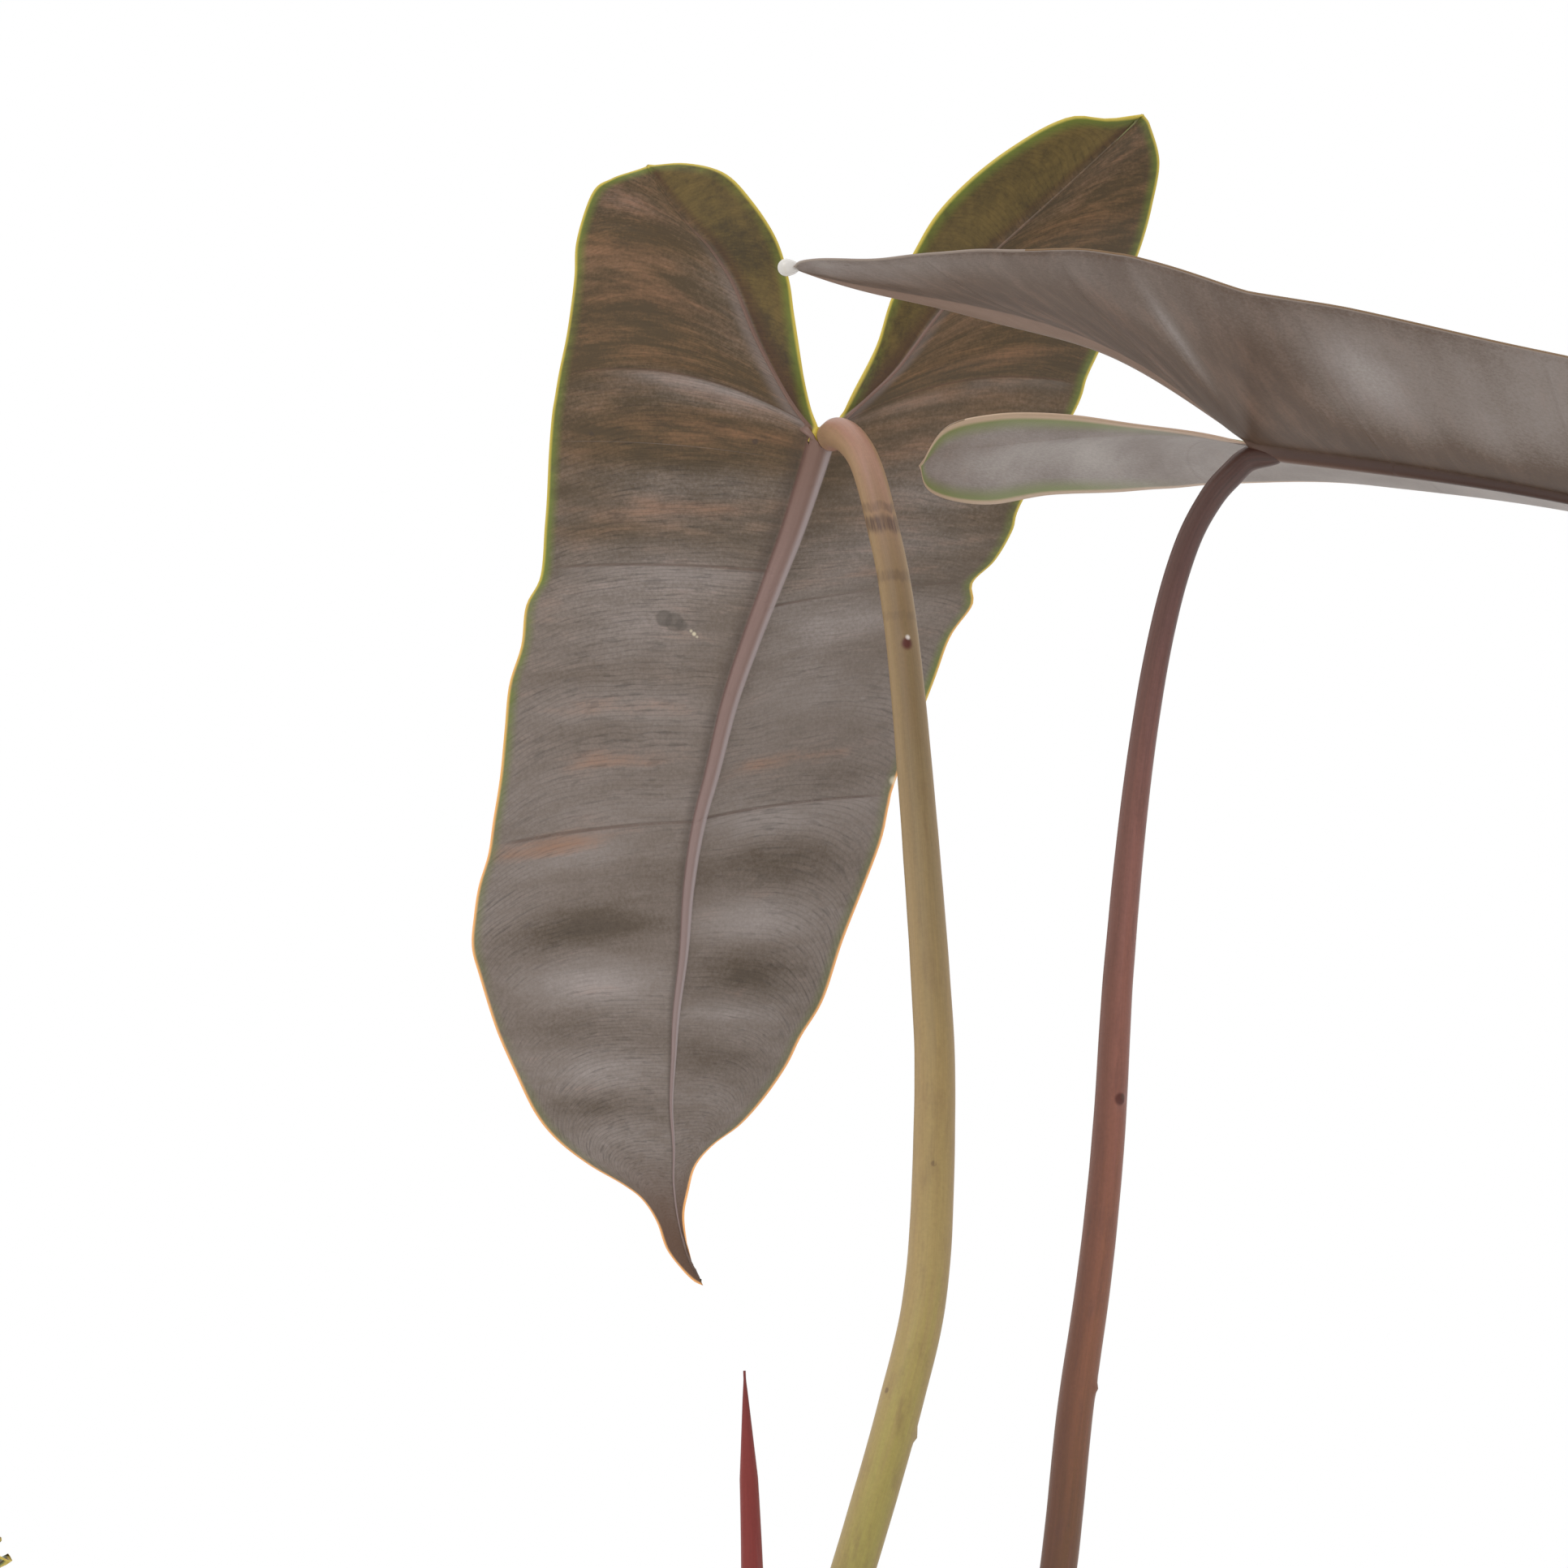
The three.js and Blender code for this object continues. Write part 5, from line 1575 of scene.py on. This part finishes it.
# %% Pot finish
def pot_skin():
    material, shader, wire = new_finish("pot_plastic")
    point = object_point(wire)
    x, y, z = (axis(point, k) / MM for k in range(3))
    round_pot = wire.math("ARCTAN2", y, x)
    drips = cloud(place(round_pot * 9.0, z * 0.02, 1.0), 1.0, 4.0, 0.6)
    patches = cloud(point, 30.0, 4.0, 0.6)
    grain = cloud(point, 2200.0, 2.0)
    turning = wire.math("SINE", z * 9.0) * 0.5 + 0.5
    dust = step(patches + (drips - 0.5) * 0.8, 0.5, 0.95)
    color = between(dust * 0.5, "2E2D2C", "6E675C")
    foot = step(z + patches * 8, 16.0, 2.0)
    color = stain(color, foot * 0.35, "7A7060")
    out = wire.math("SQRT", x * x + y * y)
    lip = step(z, 114.5, 116.0) * step(patches, 0.3, 0.6)
    color = stain(color, lip * 0.4, "5C5A57")
    inner = step(out, 63.0, 61.5) * step(z + patches * 6, 111.0, 103.0)
    color = stain(color, inner * 0.85, "33261C")
    skin = grain * 0.6 + turning * 0.25 + patches * 0.5
    rough = 0.42 + dust * 0.3 + grain * 0.12
    feed(shader, base_color=color, roughness=rough, normal=relief(skin, 0.00012, 0.5))
    return material


pot.data.materials.append(pot_skin())
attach(pot, "root")
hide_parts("pot")
print("The pot is dressed")

# %% [markdown]
# ## The potting soil
#
# An aroid grows in a loose mix: dark peat with bark chips and white perlite. The bed is one
# closed body that fills the pot, with a lumpy top, and the chips and crumbs lie half sunk in it.
# A chip, a crumb and a grain of perlite are each modelled once and then copied, turned and
# scaled by seeded chance.

# %% The bed of soil
SOIL_LEVEL = 101
SOIL_EDGE = 59.5
SOIL_DOME = 1.5
MOUND_AT_STEM = 1.6
# Lumps, crumbs and fine grain: their scale in the noise, their place in it and their height.
UNEVENNESS = [(0.09, 2.0, 1.6), (0.32, 7.0, 0.9), (0.9, 4.0, 0.45)]
TOP_RINGS = 46


def soil_height(x, y):
    """The height of the soil's top at a place, in mm."""
    inward = max(1 - math.hypot(x, y) / SOIL_EDGE, 0)
    uneven = sum(
        noise.noise(Vector((x * scale, y * scale, slice_z))) * height
        for scale, slice_z, height in UNEVENNESS)
    dome = SOIL_DOME * math.sin(inward * math.pi / 2)
    mound = MOUND_AT_STEM * bell(math.hypot(x, y - 2.5), 0, 12)
    return SOIL_LEVEL + dome + uneven * ease(0, 0.06, inward) + mound


# Radius and height of each ring of the bed, from the middle of its foot round to the middle of
# its top, where the height comes from soil_height.
outline = [(0, 2.8), (24, 2.8), (pot_radius(3) - 2.3, 2.8), (pot_radius(50) - 2.2, 50)]
outline += [(pot_radius(99) - 2.1, 99.4)]
edge = pot_radius(SOIL_LEVEL) - 2.1
outline += [(edge * (1 - k / TOP_RINGS), None) for k in range(TOP_RINGS + 1)]
soil = flat_grid(150, len(outline) - 1)
soil.name = "soil_bed"
for vertex in soil.data.vertices:
    radius, z = outline[round((vertex.co.y + 0.5) * (len(outline) - 1))]
    turn = 2 * math.pi * (vertex.co.x + 0.5)
    x, y = radius * math.cos(turn), radius * math.sin(turn)
    vertex.co = Vector((x, y, soil_height(x, y) if z is None else z)) * MM
weld()
face_outwards()
bpy.ops.object.shade_smooth()
print("Soil bed faces:", len(soil.data.polygons))


# %% Model a bark chip, a crumb and a grain of perlite once
def roughen(piece, amount, scale, seed):
    """Pushes each point aside by noise, so that no two sides of a lump are alike."""
    for vertex in piece.data.vertices:
        pull = noise.noise_vector(vertex.co * scale + Vector((seed, 0, 0)))
        vertex.co += pull * amount


bpy.ops.mesh.primitive_cube_add(size=1)
chip = bpy.context.object
bpy.ops.transform.resize(value=(1, 0.55, 0.22))
bpy.ops.object.transform_apply(scale=True)
bpy.ops.object.mode_set(mode="EDIT")
bpy.ops.mesh.select_all(action="SELECT")
bpy.ops.mesh.subdivide(number_cuts=1)
bpy.ops.mesh.bevel(offset=0.05, segments=1, affect="EDGES")
bpy.ops.object.mode_set(mode="OBJECT")
roughen(chip, 0.13, 2.0, 3)
bpy.ops.mesh.primitive_ico_sphere_add(subdivisions=2, radius=0.5)
crumb = bpy.context.object
roughen(crumb, 0.16, 2.6, 11)
bpy.ops.mesh.primitive_ico_sphere_add(subdivisions=2, radius=0.5)
perlite = bpy.context.object
roughen(perlite, 0.09, 3.4, 23)
bpy.ops.object.shade_smooth()
print("Faces of chip, crumb, perlite:", [len(o.data.polygons) for o in (chip, crumb, perlite)])


# %% Soil finishes
def soil_skin(name, dark, pale, rough, scale):
    material, shader, wire = new_finish(name)
    point = object_point(wire)
    patches = cloud(point, scale, 4.0, 0.65)
    grain = cloud(point, scale * 9, 3.0)
    color = shade(between(step(patches, 0.3, 0.7), dark, pale), 0.55 + grain * 0.85)
    skin = patches * 0.6 + grain * 0.5
    feed(shader, base_color=color, roughness=rough, normal=relief(skin, 0.0006, 0.9))
    return material


peat = soil_skin("peat", "241A13", "4A382B", 0.9, 160.0)
bark = soil_skin("bark", "4A3020", "8A6544", 0.8, 240.0)
stone = soil_skin("perlite", "CFCBC2", "F2F0EA", 0.75, 500.0)
soil.data.materials.append(peat)
chip.data.materials.append(bark)
crumb.data.materials.append(peat)
perlite.data.materials.append(stone)
print("Three soil finishes")

# %% Strew them over the bed
# Each kind with its number, its smallest and largest size in mm, and how far it stands out.
KINDS = [(chip, 130, 3.5, 10.5, 0.12), (crumb, 420, 1.4, 4.2, 0.22), (perlite, 120, 1.4, 3.4, 0.22)]
TURNS = [(-0.35, 0.35), (-0.35, 0.35), (0, 6.28)]
STREWN_RADIUS = 57.5
WALL_RADIUS = 59
draw = Random(5)
strewn = []
for kind, count, smallest, largest, out in KINDS:
    for number in range(count):
        away = STREWN_RADIUS * math.sqrt(draw.uniform(0.02, 1))
        turn = draw.uniform(0, 2 * math.pi)
        x, y = away * math.cos(turn), away * math.sin(turn)
        size = draw.uniform(smallest, largest)
        size = min(size, max((WALL_RADIUS - away) * 1.4, smallest))
        copy = kind.copy()
        copy.data = kind.data.copy()
        scene.collection.objects.link(copy)
        copy.location = Vector((x, y, soil_height(x, y) + out * size)) * MM
        copy.rotation_euler = [draw.uniform(*span) for span in TURNS]
        copy.scale = Vector((size, size * draw.uniform(0.7, 1.1), size * draw.uniform(0.7, 1))) * MM
        strewn.append(copy)
alone(*strewn)
bpy.ops.object.join()
chips = bpy.context.object
bpy.ops.object.transform_apply(location=True, rotation=True, scale=True)
chips.name = "soil_chips"
for kind in (chip, crumb, perlite):
    bpy.data.objects.remove(kind)
for piece in (soil, chips):
    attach(piece, "root")
    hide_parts("potting_soil")
print("Chips and crumbs:", len(chips.data.polygons), "faces")
